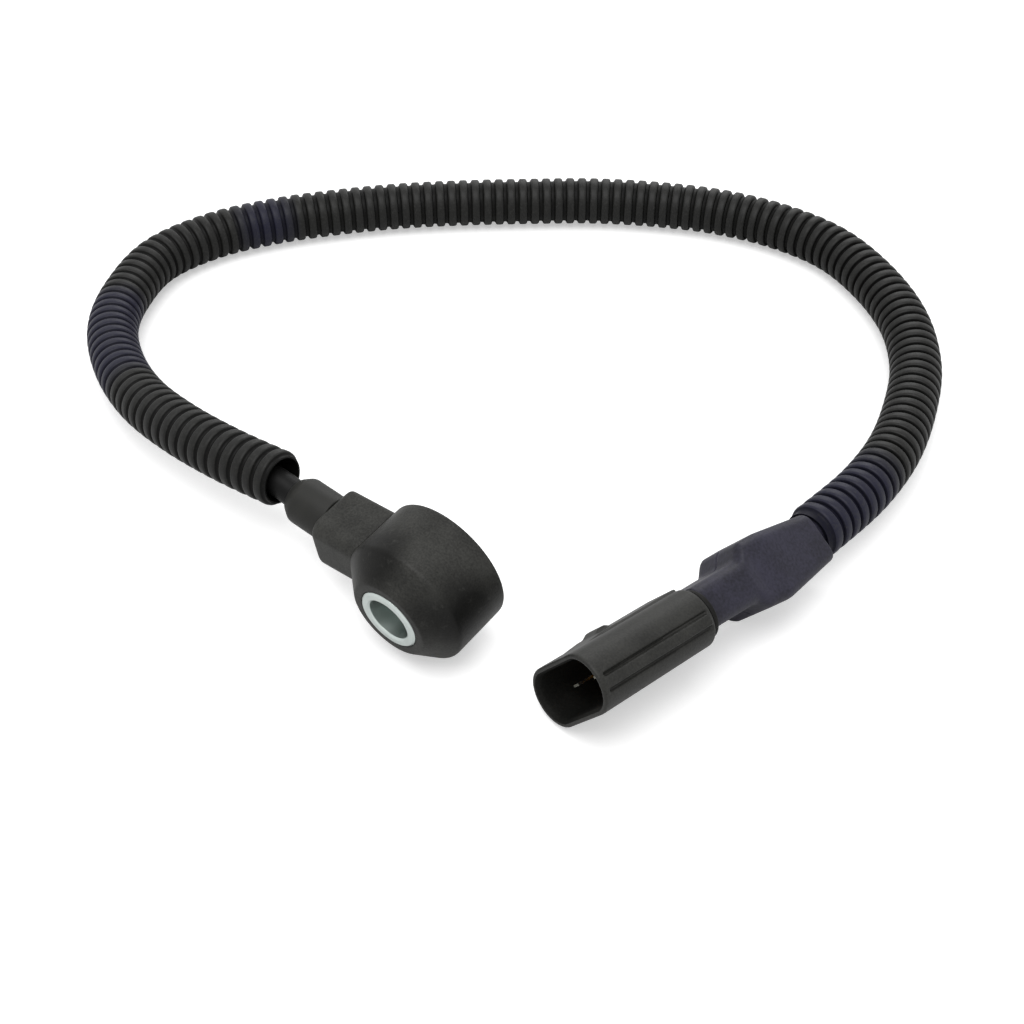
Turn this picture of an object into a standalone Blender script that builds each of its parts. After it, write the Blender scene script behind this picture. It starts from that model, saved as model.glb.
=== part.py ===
"""Engine knock sensor with its lead: a ring-shaped sensor head clamped by a bolt through its
steel sleeve, a moulded cable boss, a cable in corrugated conduit and an oval two-pin connector.

Run with: blender --background --python part.py
The part lies on z = 0 as it would on a bench, and everything is in metres.
"""

import math

import bmesh
import bpy
import numpy as np
from mathutils import Vector

MM = 0.001

# Fits
GAP = 0.3 * MM                      # clearance between pieces that touch on the real part

# Steel sleeve: the bolt passes through it and clamps the sensor to the engine
BORE_RADIUS = 4.2 * MM              # clears an M8 bolt
SLEEVE_RADIUS = 5.9 * MM
SLEEVE_HEIGHT = 17.3 * MM
SLEEVE_CHAMFER = 0.35 * MM
FLANGE_RADIUS = 10.0 * MM
FLANGE_THICKNESS = 2.0 * MM

# Moulded housing
BODY_RIM = 2.05 * MM                # plastic round the flange
BODY_RADIUS = FLANGE_RADIUS + GAP + BODY_RIM
BODY_BACK = 1.0 * MM                # the steel flange stands this far out of the plastic
BODY_SHOULDER = 12.8 * MM           # height where the straight wall turns into the cone
NOSE_RADIUS = 8.0 * MM
NOSE_HEIGHT = 17.0 * MM
NOSE_LIP = 0.6 * MM
BODY_EDGE = 0.4 * MM

# Sensing stack, from the flange up
SLEEVE_TUBE_WALL = 0.5 * MM
STACK_INNER = SLEEVE_RADIUS + GAP + SLEEVE_TUBE_WALL + GAP
STACK_WIDTH = 2.5 * MM              # of each ring, from its bore to its rim
STACK_RADIUS = STACK_INNER + STACK_WIDTH
INSULATOR_THICKNESS = 0.4 * MM
CONTACT_THICKNESS = 0.4 * MM
PIEZO_THICKNESS = 2.5 * MM
MASS_HEIGHT = 3.5 * MM
SPRING_THICKNESS = 0.5 * MM
SPRING_CONE = 0.4 * MM
NUT_HEIGHT = 2.0 * MM
NUT_RADIUS = 8.0 * MM
NUT_SLOT_WIDTH = 2.0 * MM
NUT_SLOT_DEPTH = 0.9 * MM
NUT_SLOTS = 4

# Contact tabs that carry the signal into the boss
TAB_WIDTH = 2.4 * MM
TAB_RUN = 1.0 * MM                  # from the ring's rim to the crimp barrel
TAB_SPREAD = 2.0 * MM
BARREL_LENGTH = 2.2 * MM
BARREL_WALL = 0.4 * MM
WIRE_RADIUS = 0.7 * MM

# Cable boss on the side of the housing
BOSS_REACH = 23.3 * MM
BOSS_TALL = 10.5 * MM
BOSS_DEEP = 11.4 * MM
BOSS_BACK = 0.3 * MM
BOSS_DROP = 0.55 * MM               # the boss sits this far below the bore's axis
BOSS_EDGE = 2.5 * MM                # rounding of the two long edges on the nose's side
BOSS_RIM = 1.3 * MM                 # rounding round its end
BOSS_BACK_EDGE = 0.6 * MM

# Collar where the cable leaves the boss
EXIT_HEIGHT = 5.0 * MM              # height of the cable's axis over the contact face
EXIT_RISE = math.radians(9.0)
COLLAR_RADIUS = 4.55 * MM
COLLAR_START = 1.1 * MM
COLLAR_END = 10.0 * MM
COLLAR_EDGE = 1.3 * MM
SPIGOT_WALL = 0.6 * MM
SPIGOT_DEPTH = 3.0 * MM
CABLE_RADIUS = 2.7 * MM
CABLE_INSERT = 3.4 * MM             # the jacket's end inside the boss

# Conduit
CONDUIT_RADIUS = 5.3 * MM
CONDUIT_WALL = 1.0 * MM
CORD_STEP = 12.0 * MM

# Connector shell: an oval tube, closed behind its socket
SHELL_WIDE = 21.3 * MM
SHELL_THICK = 10.6 * MM
SHELL_LENGTH = 25.0 * MM
SHELL_WALL = 1.3 * MM
SOCKET_DEPTH = 14.0 * MM
SHELL_FLARE = 0.2 * MM              # draft: the mouth is this much larger on each side
SHELL_RIM = 0.25 * MM
SHELL_REAR_RIM = 0.9 * MM
RAIL_START = 3.0 * MM               # a low rail on the flat side carries the latch ramp
RAIL_HEIGHT = 0.5 * MM
RAIL_REAR_HEIGHT = 0.45 * MM
RAIL_WIDTH = 9.0 * MM
LATCH_START = 8.3 * MM
LATCH_TOP_START = 9.6 * MM
LATCH_TOP_END = 10.8 * MM
LATCH_END = 12.0 * MM
LATCH_HEIGHT = 1.2 * MM
LATCH_WIDTH = 5.0 * MM
RIB_WIDTH = 2.4 * MM
RIB_HEIGHT = 0.4 * MM
RIB_OFFSET = 0.6 * MM
RIB_START = 2.5 * MM
RIB_SINK = 1.2 * MM

# Terminals, seals and the parts that hold them
PIN_PITCH = 7.2 * MM
BLADE_WIDE = 2.8 * MM
BLADE_THICK = 0.8 * MM
BLADE_START = 4.0 * MM
CAGE_SIZE = 2.4 * MM
CAGE_START = 14.6 * MM
CAGE_END = 19.4 * MM
GRIP_END = 21.2 * MM
SEAL_RADIUS = 2.3 * MM
SEAL_START = 21.6 * MM
SEAL_END = 24.9 * MM
SEAL_GROOVE = 0.35 * MM
LOCK_THICKNESS = 1.6 * MM
CAP_LENGTH = 1.0 * MM
CAP_STEP = 0.8 * MM

# Backshell: two clip-together halves that lead the conduit into the connector. It reaches further
# towards the latch's side than away from it.
NECK_HALF_WIDE = 9.3 * MM
NECK_ABOVE = 4.6 * MM
NECK_BELOW = 3.4 * MM
NECK_EDGE = 3.4 * MM
BODY_HALF_WIDE = 7.0 * MM
BODY_ABOVE = 7.1 * MM
BODY_BELOW = 6.0 * MM
BODY_CORNER = 2.4 * MM
REAR_HALF_WIDE = 5.5 * MM
REAR_ABOVE = 5.5 * MM
REAR_BELOW = 4.2 * MM
SHOULDER_START = 9.8 * MM           # from the neck's front to where it widens into the body
SHOULDER_RUN = 2.5 * MM
TAPER_START = 17.5 * MM
BACKSHELL_LENGTH = 30.4 * MM
BACKSHELL_WALL = 1.4 * MM
CONDUIT_SHIFT = 1.2 * MM            # the conduit leaves this far towards the latch's side
CONDUIT_TURN = math.radians(6.0)    # and at this angle to the connector
CONDUIT_GRIP = 5.0 * MM             # length of the spigot that the conduit is pushed on
CONDUIT_STOP = 1.5 * MM             # the conduit stops this far short of the backshell
JACKET_ENTRY = 6.0 * MM             # the cable runs on this far inside the backshell

# Resting places, read from how the part lies
HEAD_ACROSS = 10.6 * MM
HEAD_ALONG = 8.3 * MM
HEAD_NOSE_DOWN = math.radians(8.1)
HEAD_ROLL = math.radians(2.5)
CONNECTOR_ACROSS = 43.3 * MM
CONNECTOR_ALONG = -1.6 * MM
CONNECTOR_HEADING = math.radians(258.9)
CONNECTOR_RISE = math.radians(2.0)
CONNECTOR_ROLL = math.radians(52.6)

# Route of the conduit's centre line in millimetres, from the sensor's end to the backshell
CONDUIT_ROUTE = [
    (-26.2, 3.6, 14.4), (-40.4, 3.0, 13.4), (-55.2, 4.1, 11.7), (-69.6, 7.1, 9.8),
    (-83.5, 13.0, 8.1), (-95.8, 21.5, 6.8), (-104.5, 32.6, 5.8), (-110.0, 46.6, 5.5),
    (-108.0, 61.3, 5.5), (-101.4, 74.8, 5.5), (-92.7, 87.0, 5.5), (-83.0, 98.4, 5.5),
    (-72.3, 108.9, 5.5), (-61.1, 118.8, 5.5), (-49.5, 128.5, 5.5), (-37.0, 136.7, 5.5),
    (-23.5, 143.3, 5.5), (-9.1, 146.9, 5.5), (5.7, 146.5, 5.5), (20.0, 140.4, 5.5),
    (32.5, 131.0, 5.5), (41.9, 118.8, 5.5), (48.0, 105.2, 6.0), (52.5, 90.2, 6.9),
    (54.4, 75.1, 8.1), (54.0, 61.2, 9.0),
]
# Where the cable runs between the collar and the conduit's second point
CABLE_LEAD_IN = [(-26.8, 3.2, 13.8), (-33.3, 3.0, 13.7)]

# How many faces go round a turned piece, and round a corner
SIDES_LARGE = 64
SIDES_STACK = 40
SIDES_SMALL = 20
CORNER_STEPS = 3

PART = "engine_knock_sensor"


def clear_scene():
    for thing in list(bpy.data.objects):
        bpy.data.objects.remove(thing, do_unlink=True)


def new_collection(name):
    collection = bpy.data.collections.new(name)
    bpy.context.scene.collection.children.link(collection)
    return collection


def material(name, colour, roughness, metallic=0.0):
    made = bpy.data.materials.new(name)
    made.use_nodes = True
    shader = made.node_tree.nodes["Principled BSDF"]
    shader.inputs["Base Color"].default_value = (*colour, 1.0)
    shader.inputs["Roughness"].default_value = roughness
    shader.inputs["Metallic"].default_value = metallic
    made.diffuse_color = (*colour, 1.0)
    return made


def make_materials():
    return {
        "housing": material("moulded_polyamide", (0.045, 0.045, 0.042), 0.5),
        "steel": material("zinc_plated_steel", (0.58, 0.62, 0.60), 0.3, 1.0),
        "brass": material("tinned_brass", (0.72, 0.70, 0.62), 0.35, 1.0),
        "ceramic": material("piezo_ceramic", (0.52, 0.47, 0.36), 0.55),
        "film": material("insulating_film", (0.72, 0.55, 0.25), 0.4),
        "rubber": material("seal_rubber", (0.30, 0.06, 0.03), 0.6),
        "collar": material("collar_rubber", (0.04, 0.04, 0.038), 0.6),
        "jacket": material("cable_jacket", (0.03, 0.03, 0.03), 0.5),
        "conduit": material("corrugated_polyamide", (0.04, 0.04, 0.038), 0.45),
        "lead": material("wire_insulation", (0.10, 0.10, 0.11), 0.5),
    }


def place(thing, collection, parent=None, finish=None):
    """Link an object to a collection, hang it on its frame and give it its material."""
    collection.objects.link(thing)
    thing.parent = parent
    if finish is not None:
        thing.data.materials.append(finish)
    return thing


def mesh_object(name, bm):
    bmesh.ops.recalc_face_normals(bm, faces=bm.faces)
    mesh = bpy.data.meshes.new(name)
    bm.to_mesh(mesh)
    bm.free()
    mesh.shade_smooth()
    mesh.set_sharp_from_angle(angle=math.radians(35.0))
    return bpy.data.objects.new(name, mesh)


def turned(name, profile, steps):
    """A closed profile of (radius, height) pairs, outer side first from the top, about local Z."""
    bm = bmesh.new()
    corners = [bm.verts.new((radius, 0.0, height)) for radius, height in profile]
    for here, after in zip(corners, corners[1:] + corners[:1]):
        bm.edges.new((here, after))
    mesh = bpy.data.meshes.new(name)
    bm.to_mesh(mesh)
    bm.free()
    thing = bpy.data.objects.new(name, mesh)
    screw = thing.modifiers.new("turn", "SCREW")
    screw.angle = 2.0 * math.pi
    screw.steps = steps
    screw.render_steps = steps
    screw.use_merge_vertices = True
    screw.merge_threshold = 1e-6
    screw.use_smooth_shade = True
    return thing


def ring(name, inner, outer, low, high, steps):
    """A plain washer-shaped piece between two heights."""
    return turned(name, [(outer, high), (outer, low), (inner, low), (inner, high)], steps)


def rod(name, radius, low, high, steps):
    """A cylinder about local Z between two heights."""
    bm = bmesh.new()
    bmesh.ops.create_cone(bm, cap_ends=True, segments=steps, radius1=radius, radius2=radius,
                          depth=high - low)
    bmesh.ops.translate(bm, verts=bm.verts, vec=(0.0, 0.0, (low + high) / 2.0))
    return mesh_object(name, bm)


def block(name, low, high):
    """A box between its lowest and highest corners."""
    bm = bmesh.new()
    bmesh.ops.create_cube(bm, size=1.0)
    size = Vector(high) - Vector(low)
    bmesh.ops.scale(bm, vec=size, verts=bm.verts)
    bmesh.ops.translate(bm, verts=bm.verts, vec=(Vector(high) + Vector(low)) / 2.0)
    return mesh_object(name, bm)


def loft(name, sections):
    """Skin a row of closed sections, each a list of points in the same order, and cap its ends."""
    bm = bmesh.new()
    rings = [[bm.verts.new(point) for point in section] for section in sections]
    for before, after in zip(rings, rings[1:]):
        count = len(before)
        for index in range(count):
            following = (index + 1) % count
            bm.faces.new((before[index], before[following], after[following], after[index]))
    bm.faces.new(list(reversed(rings[0])))
    bm.faces.new(rings[-1])
    return mesh_object(name, bm)


def oval_section(along, wide, thick, steps):
    """An oval across local X, with half-round narrow sides."""
    radius = thick / 2.0
    straight = wide / 2.0 - radius
    points = []
    for side in (1.0, -1.0):
        for step in range(steps + 1):
            angle = math.pi * (step / steps - 0.5)
            points.append((along, side * (straight + radius * math.cos(angle)),
                           side * radius * math.sin(angle)))
    return points


def oval_bar(name, wide, thick, levels, steps=16):
    """A bar of oval section along local X, from pairs of a place and the inset of its sides."""
    return loft(name, [oval_section(along, wide - 2.0 * inset, thick - 2.0 * inset, steps)
                       for along, inset in levels])


def rounded_outline(half_wide, above, below, corner_above, corner_below):
    """Places across and above the middle, round an outline with rounded corners."""
    points = []
    for wide_side, thick, corner, start in ((1, above, corner_above, 0),
                                            (-1, above, corner_above, 90),
                                            (-1, -below, corner_below, 180),
                                            (1, -below, corner_below, 270)):
        across = wide_side * (half_wide - corner)
        middle = thick - math.copysign(corner, thick)
        for step in range(CORNER_STEPS + 1):
            angle = math.radians(start + 90.0 * step / CORNER_STEPS)
            points.append((across + corner * math.cos(angle),
                           middle + corner * math.sin(angle)))
    return points


def boolean(thing, tool, operation, cutters):
    """Cut or join a tool that shares the thing's frame."""
    if tool.name not in cutters.objects:
        cutters.objects.link(tool)
    if tool.parent is None:
        tool.parent = thing.parent
    tool.hide_render = True
    tool.display_type = "WIRE"
    step = thing.modifiers.new(operation.lower() + "_" + tool.name, "BOOLEAN")
    step.operation = operation
    step.solver = "EXACT"
    step.object = tool


def soften(thing, width, segments=2, angle=40.0):
    """Round the sharp edges of a piece."""
    bevel = thing.modifiers.new("rounded_edges", "BEVEL")
    bevel.width = width
    bevel.segments = segments
    bevel.limit_method = "ANGLE"
    bevel.angle_limit = math.radians(angle)


def frame(name, parts, parent=None, location=(0.0, 0.0, 0.0), rotation=(0.0, 0.0, 0.0),
          mode="XYZ"):
    empty = bpy.data.objects.new(name, None)
    parts.objects.link(empty)
    empty.parent = parent
    empty.location = location
    empty.rotation_mode = mode
    empty.rotation_euler = rotation
    bpy.context.view_layer.update()
    return empty


def smooth_route(points, step):
    """Points a fixed step apart along a smooth curve through the given ones."""
    knots = np.array(points, dtype=float)
    padded = np.vstack([2 * knots[0] - knots[1], knots, 2 * knots[-1] - knots[-2]])
    fine = []
    for index in range(1, len(padded) - 2):
        p0, p1, p2, p3 = padded[index - 1:index + 3]
        for t in np.linspace(0.0, 1.0, 16, endpoint=False):
            fine.append(0.5 * (2 * p1 + (p2 - p0) * t + (2 * p0 - 5 * p1 + 4 * p2 - p3) * t ** 2
                               + (3 * p1 - p0 - 3 * p2 + p3) * t ** 3))
    fine.append(knots[-1])
    fine = np.array(fine)
    along = np.concatenate([[0.0], np.cumsum(np.linalg.norm(np.diff(fine, axis=0), axis=1))])
    count = max(2, int(round(along[-1] / step)) + 1)
    wanted = np.linspace(0.0, along[-1], count)
    return [tuple(np.interp(mark, along, fine[:, axis]) for axis in range(3)) for mark in wanted]


def tube(name, points, radius, resolution, caps=True):
    """A round tube along a row of points, as a curve."""
    curve = bpy.data.curves.new(name, "CURVE")
    curve.dimensions = "3D"
    curve.bevel_depth = radius
    curve.bevel_resolution = resolution
    curve.use_fill_caps = caps
    spline = curve.splines.new("POLY")
    spline.points.add(len(points) - 1)
    for slot, point in zip(spline.points, points):
        slot.co = (*point, 1.0)
    return bpy.data.objects.new(name, curve)


def tube_mesh(name, points, radius, resolution, caps=True):
    """The same tube as a closed mesh, for pieces that are cut or given a wall."""
    guide = tube(name + "_guide", points, radius, resolution, caps)
    bpy.context.scene.collection.objects.link(guide)
    bpy.context.view_layer.update()
    mesh = bpy.data.meshes.new_from_object(guide.evaluated_get(
        bpy.context.evaluated_depsgraph_get()))
    bpy.data.objects.remove(guide, do_unlink=True)
    mesh.name = name
    bm = bmesh.new()
    bm.from_mesh(mesh)
    bmesh.ops.remove_doubles(bm, verts=bm.verts, dist=1e-6)
    bm.to_mesh(mesh)
    bm.free()
    mesh.shade_smooth()
    return bpy.data.objects.new(name, mesh)


def head_frames(parts):
    """The head's frame, with its bolt axis on local Z, and the cable exit's frame on the boss.

    The head rests on the edge between its straight wall and its cone.
    """
    height = (BODY_RADIUS * math.cos(HEAD_NOSE_DOWN)
              + (BODY_SHOULDER - BODY_EDGE) * math.sin(HEAD_NOSE_DOWN))
    head = frame("head_frame", parts, location=(HEAD_ACROSS, HEAD_ALONG, height),
                 rotation=(math.pi / 2.0 + HEAD_NOSE_DOWN, 0.0, HEAD_ROLL), mode="ZYX")
    cable_exit = frame("cable_exit_frame", parts, head,
                       location=(-BOSS_REACH, -BOSS_DROP, EXIT_HEIGHT),
                       rotation=(0.0, -math.pi / 2.0, -EXIT_RISE))
    return head, cable_exit


def stack_levels():
    """The height where each ring of the sensing stack starts, resting on the one below."""
    heights = [
        ("lower_insulator", INSULATOR_THICKNESS),
        ("lower_contact", CONTACT_THICKNESS),
        ("piezo_ring", PIEZO_THICKNESS),
        ("upper_contact", CONTACT_THICKNESS),
        ("upper_insulator", INSULATOR_THICKNESS),
        ("seismic_mass", MASS_HEIGHT),
        ("disc_spring", SPRING_THICKNESS + SPRING_CONE),
        ("ring_nut", NUT_HEIGHT),
    ]
    levels = {}
    height = FLANGE_THICKNESS
    for name, thickness in heights:
        height += GAP
        levels[name] = height
        height += thickness
    levels["top"] = height
    return levels


def make_sleeve(parts, head, finishes):
    cham = SLEEVE_CHAMFER
    profile = [
        (SLEEVE_RADIUS - cham, SLEEVE_HEIGHT), (SLEEVE_RADIUS, SLEEVE_HEIGHT - cham),
        (SLEEVE_RADIUS, FLANGE_THICKNESS), (FLANGE_RADIUS, FLANGE_THICKNESS),
        (FLANGE_RADIUS, cham), (FLANGE_RADIUS - cham, 0.0),
        (BORE_RADIUS + cham, 0.0), (BORE_RADIUS, cham),
        (BORE_RADIUS, SLEEVE_HEIGHT - cham), (BORE_RADIUS + cham, SLEEVE_HEIGHT),
    ]
    place(turned("steel_sleeve", profile, SIDES_LARGE), parts, head, finishes["steel"])


def make_stack(parts, cutters, head, finishes, levels):
    tube_in = SLEEVE_RADIUS + GAP
    tube_out = tube_in + SLEEVE_TUBE_WALL
    tube_top = levels["disc_spring"] - GAP
    place(ring("insulating_tube", tube_in, tube_out, levels["lower_insulator"], tube_top,
               SIDES_STACK), parts, head, finishes["film"])
    plain = [
        ("lower_insulator", INSULATOR_THICKNESS, "film"),
        ("piezo_ring", PIEZO_THICKNESS, "ceramic"),
        ("upper_insulator", INSULATOR_THICKNESS, "film"),
        ("seismic_mass", MASS_HEIGHT, "steel"),
    ]
    for name, thickness, finish in plain:
        low = levels[name]
        place(ring(name, STACK_INNER, STACK_RADIUS, low, low + thickness, SIDES_STACK),
              parts, head, finishes[finish])
    for name, side in (("lower_contact", -1.0), ("upper_contact", 1.0)):
        make_contact(name, side, STACK_INNER, levels[name], parts, cutters, head, finishes)

    low = levels["disc_spring"]
    spring = [
        (STACK_RADIUS, low + SPRING_THICKNESS), (STACK_RADIUS, low),
        (STACK_INNER, low + SPRING_CONE), (STACK_INNER, low + SPRING_CONE + SPRING_THICKNESS),
    ]
    place(turned("disc_spring", spring, SIDES_STACK), parts, head, finishes["steel"])

    low = levels["ring_nut"]
    nut = place(ring("ring_nut", tube_in, NUT_RADIUS, low, low + NUT_HEIGHT, SIDES_STACK),
                parts, head, finishes["steel"])
    for index in range(NUT_SLOTS):
        slot = block(f"nut_slot_{index}",
                     (NUT_RADIUS - NUT_SLOT_DEPTH, -NUT_SLOT_WIDTH / 2.0, low - NUT_HEIGHT),
                     (NUT_RADIUS + NUT_SLOT_DEPTH, NUT_SLOT_WIDTH / 2.0, low + 2 * NUT_HEIGHT))
        slot.parent = head
        slot.rotation_euler = (0.0, 0.0, (index + 0.5) * 2.0 * math.pi / NUT_SLOTS)
        boolean(nut, slot, "DIFFERENCE", cutters)


def barrel_place(side, level):
    """The centre of a contact's crimp barrel, just past the end of its tab."""
    return Vector((-STACK_RADIUS - TAB_RUN - BARREL_LENGTH / 2.0, side * TAB_SPREAD - BOSS_DROP,
                   level + CONTACT_THICKNESS / 2.0))


def make_contact(name, side, inner, level, parts, cutters, head, finishes):
    """A thin contact ring with a tab and a crimp barrel that reach into the boss."""
    contact = place(ring(name, inner, STACK_RADIUS, level, level + CONTACT_THICKNESS,
                         SIDES_STACK), parts, head, finishes["brass"])
    centre = side * TAB_SPREAD - BOSS_DROP
    overlap = (STACK_RADIUS - inner) / 2.0
    tab = block(name + "_tab",
                (-STACK_RADIUS - TAB_RUN - BARREL_WALL / 2.0, centre - TAB_WIDTH / 2.0, level),
                (-STACK_RADIUS + overlap, centre + TAB_WIDTH / 2.0, level + CONTACT_THICKNESS))
    boolean(contact, tab, "UNION", cutters)
    bore = WIRE_RADIUS + GAP
    barrel = rod(name + "_barrel", bore + BARREL_WALL, -BARREL_LENGTH / 2.0,
                 BARREL_LENGTH / 2.0, SIDES_SMALL)
    drill = rod(name + "_drill", bore, -BARREL_LENGTH / 4.0, BARREL_LENGTH, SIDES_SMALL)
    for tool in (barrel, drill):
        tool.parent = head
        tool.location = barrel_place(side, level)
        tool.rotation_euler = (0.0, -math.pi / 2.0, 0.0)
    boolean(contact, barrel, "UNION", cutters)
    boolean(contact, drill, "DIFFERENCE", cutters)


def make_boss(root):
    """The cable boss, from its rounded end to its root in the wall, rounded most at the front."""
    middle = BOSS_BACK + BOSS_DEEP / 2.0
    levels = [(root, 0.0)]
    for step in range(CORNER_STEPS + 1):
        turn = math.radians(90.0 * step / CORNER_STEPS)
        levels.append((BOSS_RIM * (1.0 - math.sin(turn)) - BOSS_REACH,
                       BOSS_RIM * (1.0 - math.cos(turn))))
    sections = []
    for along, inset in levels:
        half_deep = BOSS_DEEP / 2.0 - inset
        outline = rounded_outline(BOSS_TALL / 2.0 - inset, half_deep, half_deep, BOSS_EDGE,
                                  BOSS_BACK_EDGE)
        sections.append([(along, across - BOSS_DROP, middle + thick)
                         for across, thick in outline])
    return loft("boss", sections)


def make_housing(parts, cutters, head, cable_exit, finishes, levels):
    """The overmoulded body with its cable boss, hollow where the stack and leads sit."""
    flange_room = FLANGE_RADIUS + GAP
    stack_room = STACK_RADIUS + GAP
    nut_room = NUT_RADIUS + GAP
    nut_floor = levels["ring_nut"] - GAP
    cavity_top = levels["top"] + GAP
    profile = [
        (NOSE_RADIUS - NOSE_LIP, NOSE_HEIGHT), (NOSE_RADIUS, NOSE_HEIGHT - NOSE_LIP / 2.0),
        (BODY_RADIUS - BODY_EDGE, BODY_SHOULDER + BODY_EDGE),
        (BODY_RADIUS, BODY_SHOULDER - BODY_EDGE), (BODY_RADIUS, BODY_BACK + BODY_EDGE),
        (BODY_RADIUS - BODY_EDGE, BODY_BACK), (flange_room, BODY_BACK),
        (flange_room, FLANGE_THICKNESS + GAP / 2.0), (stack_room, FLANGE_THICKNESS + GAP / 2.0),
        (stack_room, nut_floor), (nut_room, nut_floor + GAP), (nut_room, cavity_top),
        (SLEEVE_RADIUS + GAP, cavity_top), (SLEEVE_RADIUS + GAP, NOSE_HEIGHT),
    ]
    housing = place(turned("sensor_housing", profile, SIDES_LARGE), parts, head,
                    finishes["housing"])

    boolean(housing, make_boss(-stack_room - GAP), "UNION", cutters)

    barrel_room = WIRE_RADIUS + GAP + BARREL_WALL + GAP
    pocket_half = TAB_SPREAD + barrel_room
    pocket_end = BOSS_REACH - CABLE_INSERT - GAP
    pocket = block("lead_pocket",
                   (-pocket_end, -BOSS_DROP - pocket_half, levels["lower_contact"]
                    + CONTACT_THICKNESS / 2.0 - barrel_room),
                   (TAB_WIDTH - STACK_RADIUS, -BOSS_DROP + pocket_half, levels["upper_contact"]
                    + CONTACT_THICKNESS / 2.0 + barrel_room))
    boolean(housing, pocket, "DIFFERENCE", cutters)

    cable_room = CABLE_RADIUS + GAP
    spigot_room = cable_room + SPIGOT_WALL + GAP
    jacket_hole = rod("jacket_hole", cable_room, -CABLE_INSERT - 4.0 * GAP, GAP, SIDES_STACK)
    spigot_hole = rod("spigot_hole", spigot_room, -SPIGOT_DEPTH - GAP, COLLAR_START * 2.0,
                      SIDES_STACK)
    for tool in (jacket_hole, spigot_hole):
        tool.parent = cable_exit
        boolean(housing, tool, "DIFFERENCE", cutters)


def make_collar(parts, cable_exit, finishes):
    """The collar that the cable leaves the boss through, with a spigot that seats in the boss."""
    inner = CABLE_RADIUS + GAP
    spigot = inner + SPIGOT_WALL
    profile = [
        (COLLAR_RADIUS - COLLAR_EDGE, COLLAR_END), (COLLAR_RADIUS, COLLAR_END - COLLAR_EDGE),
        (COLLAR_RADIUS, COLLAR_START), (spigot, COLLAR_START), (spigot, -SPIGOT_DEPTH),
        (inner, -SPIGOT_DEPTH), (inner, COLLAR_END),
    ]
    place(turned("cable_collar", profile, SIDES_STACK), parts, cable_exit, finishes["collar"])


def make_head_wires(parts, head, cable_exit, finishes, levels):
    """The two insulated leads from the crimp barrels to the end of the cable."""
    to_head = head.matrix_world.inverted() @ cable_exit.matrix_world
    for name, side, level in (("ground_lead", -1.0, levels["lower_contact"]),
                              ("signal_lead", 1.0, levels["upper_contact"])):
        start = barrel_place(side, level)
        finish = to_head @ Vector((0.0, side * 1.3 * WIRE_RADIUS, -CABLE_INSERT - GAP))
        straight = Vector((-BARREL_LENGTH / 2.0 - GAP, 0.0, 0.0))
        route = [start, start + straight, finish - straight, finish]
        points = smooth_route(route, WIRE_RADIUS * 1.6)
        place(tube(name, points, WIRE_RADIUS, 2), parts, head, finishes["lead"])


def connector_frame(parts):
    """The connector's frame at the middle of its mouth: local X out of the mouth, Y its wide way.

    The connector rests on the rear edge of its shell.
    """
    straight_part = (SHELL_WIDE - SHELL_THICK) / 2.0
    height = ((SHELL_THICK / 2.0 + straight_part * math.sin(CONNECTOR_ROLL))
              * math.cos(CONNECTOR_RISE) + SHELL_LENGTH * math.sin(CONNECTOR_RISE))
    return frame("connector_frame", parts, location=(CONNECTOR_ACROSS, CONNECTOR_ALONG, height),
                 rotation=(CONNECTOR_ROLL, -CONNECTOR_RISE, CONNECTOR_HEADING))


def seat_frame(parts, plug):
    """The frame on the backshell's end where the conduit leaves it along -X."""
    end = backshell_start() + BACKSHELL_LENGTH
    return frame("conduit_seat_frame", parts, plug, location=(-end, 0.0, CONDUIT_SHIFT),
                 rotation=(0.0, CONDUIT_TURN, 0.0))


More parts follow.
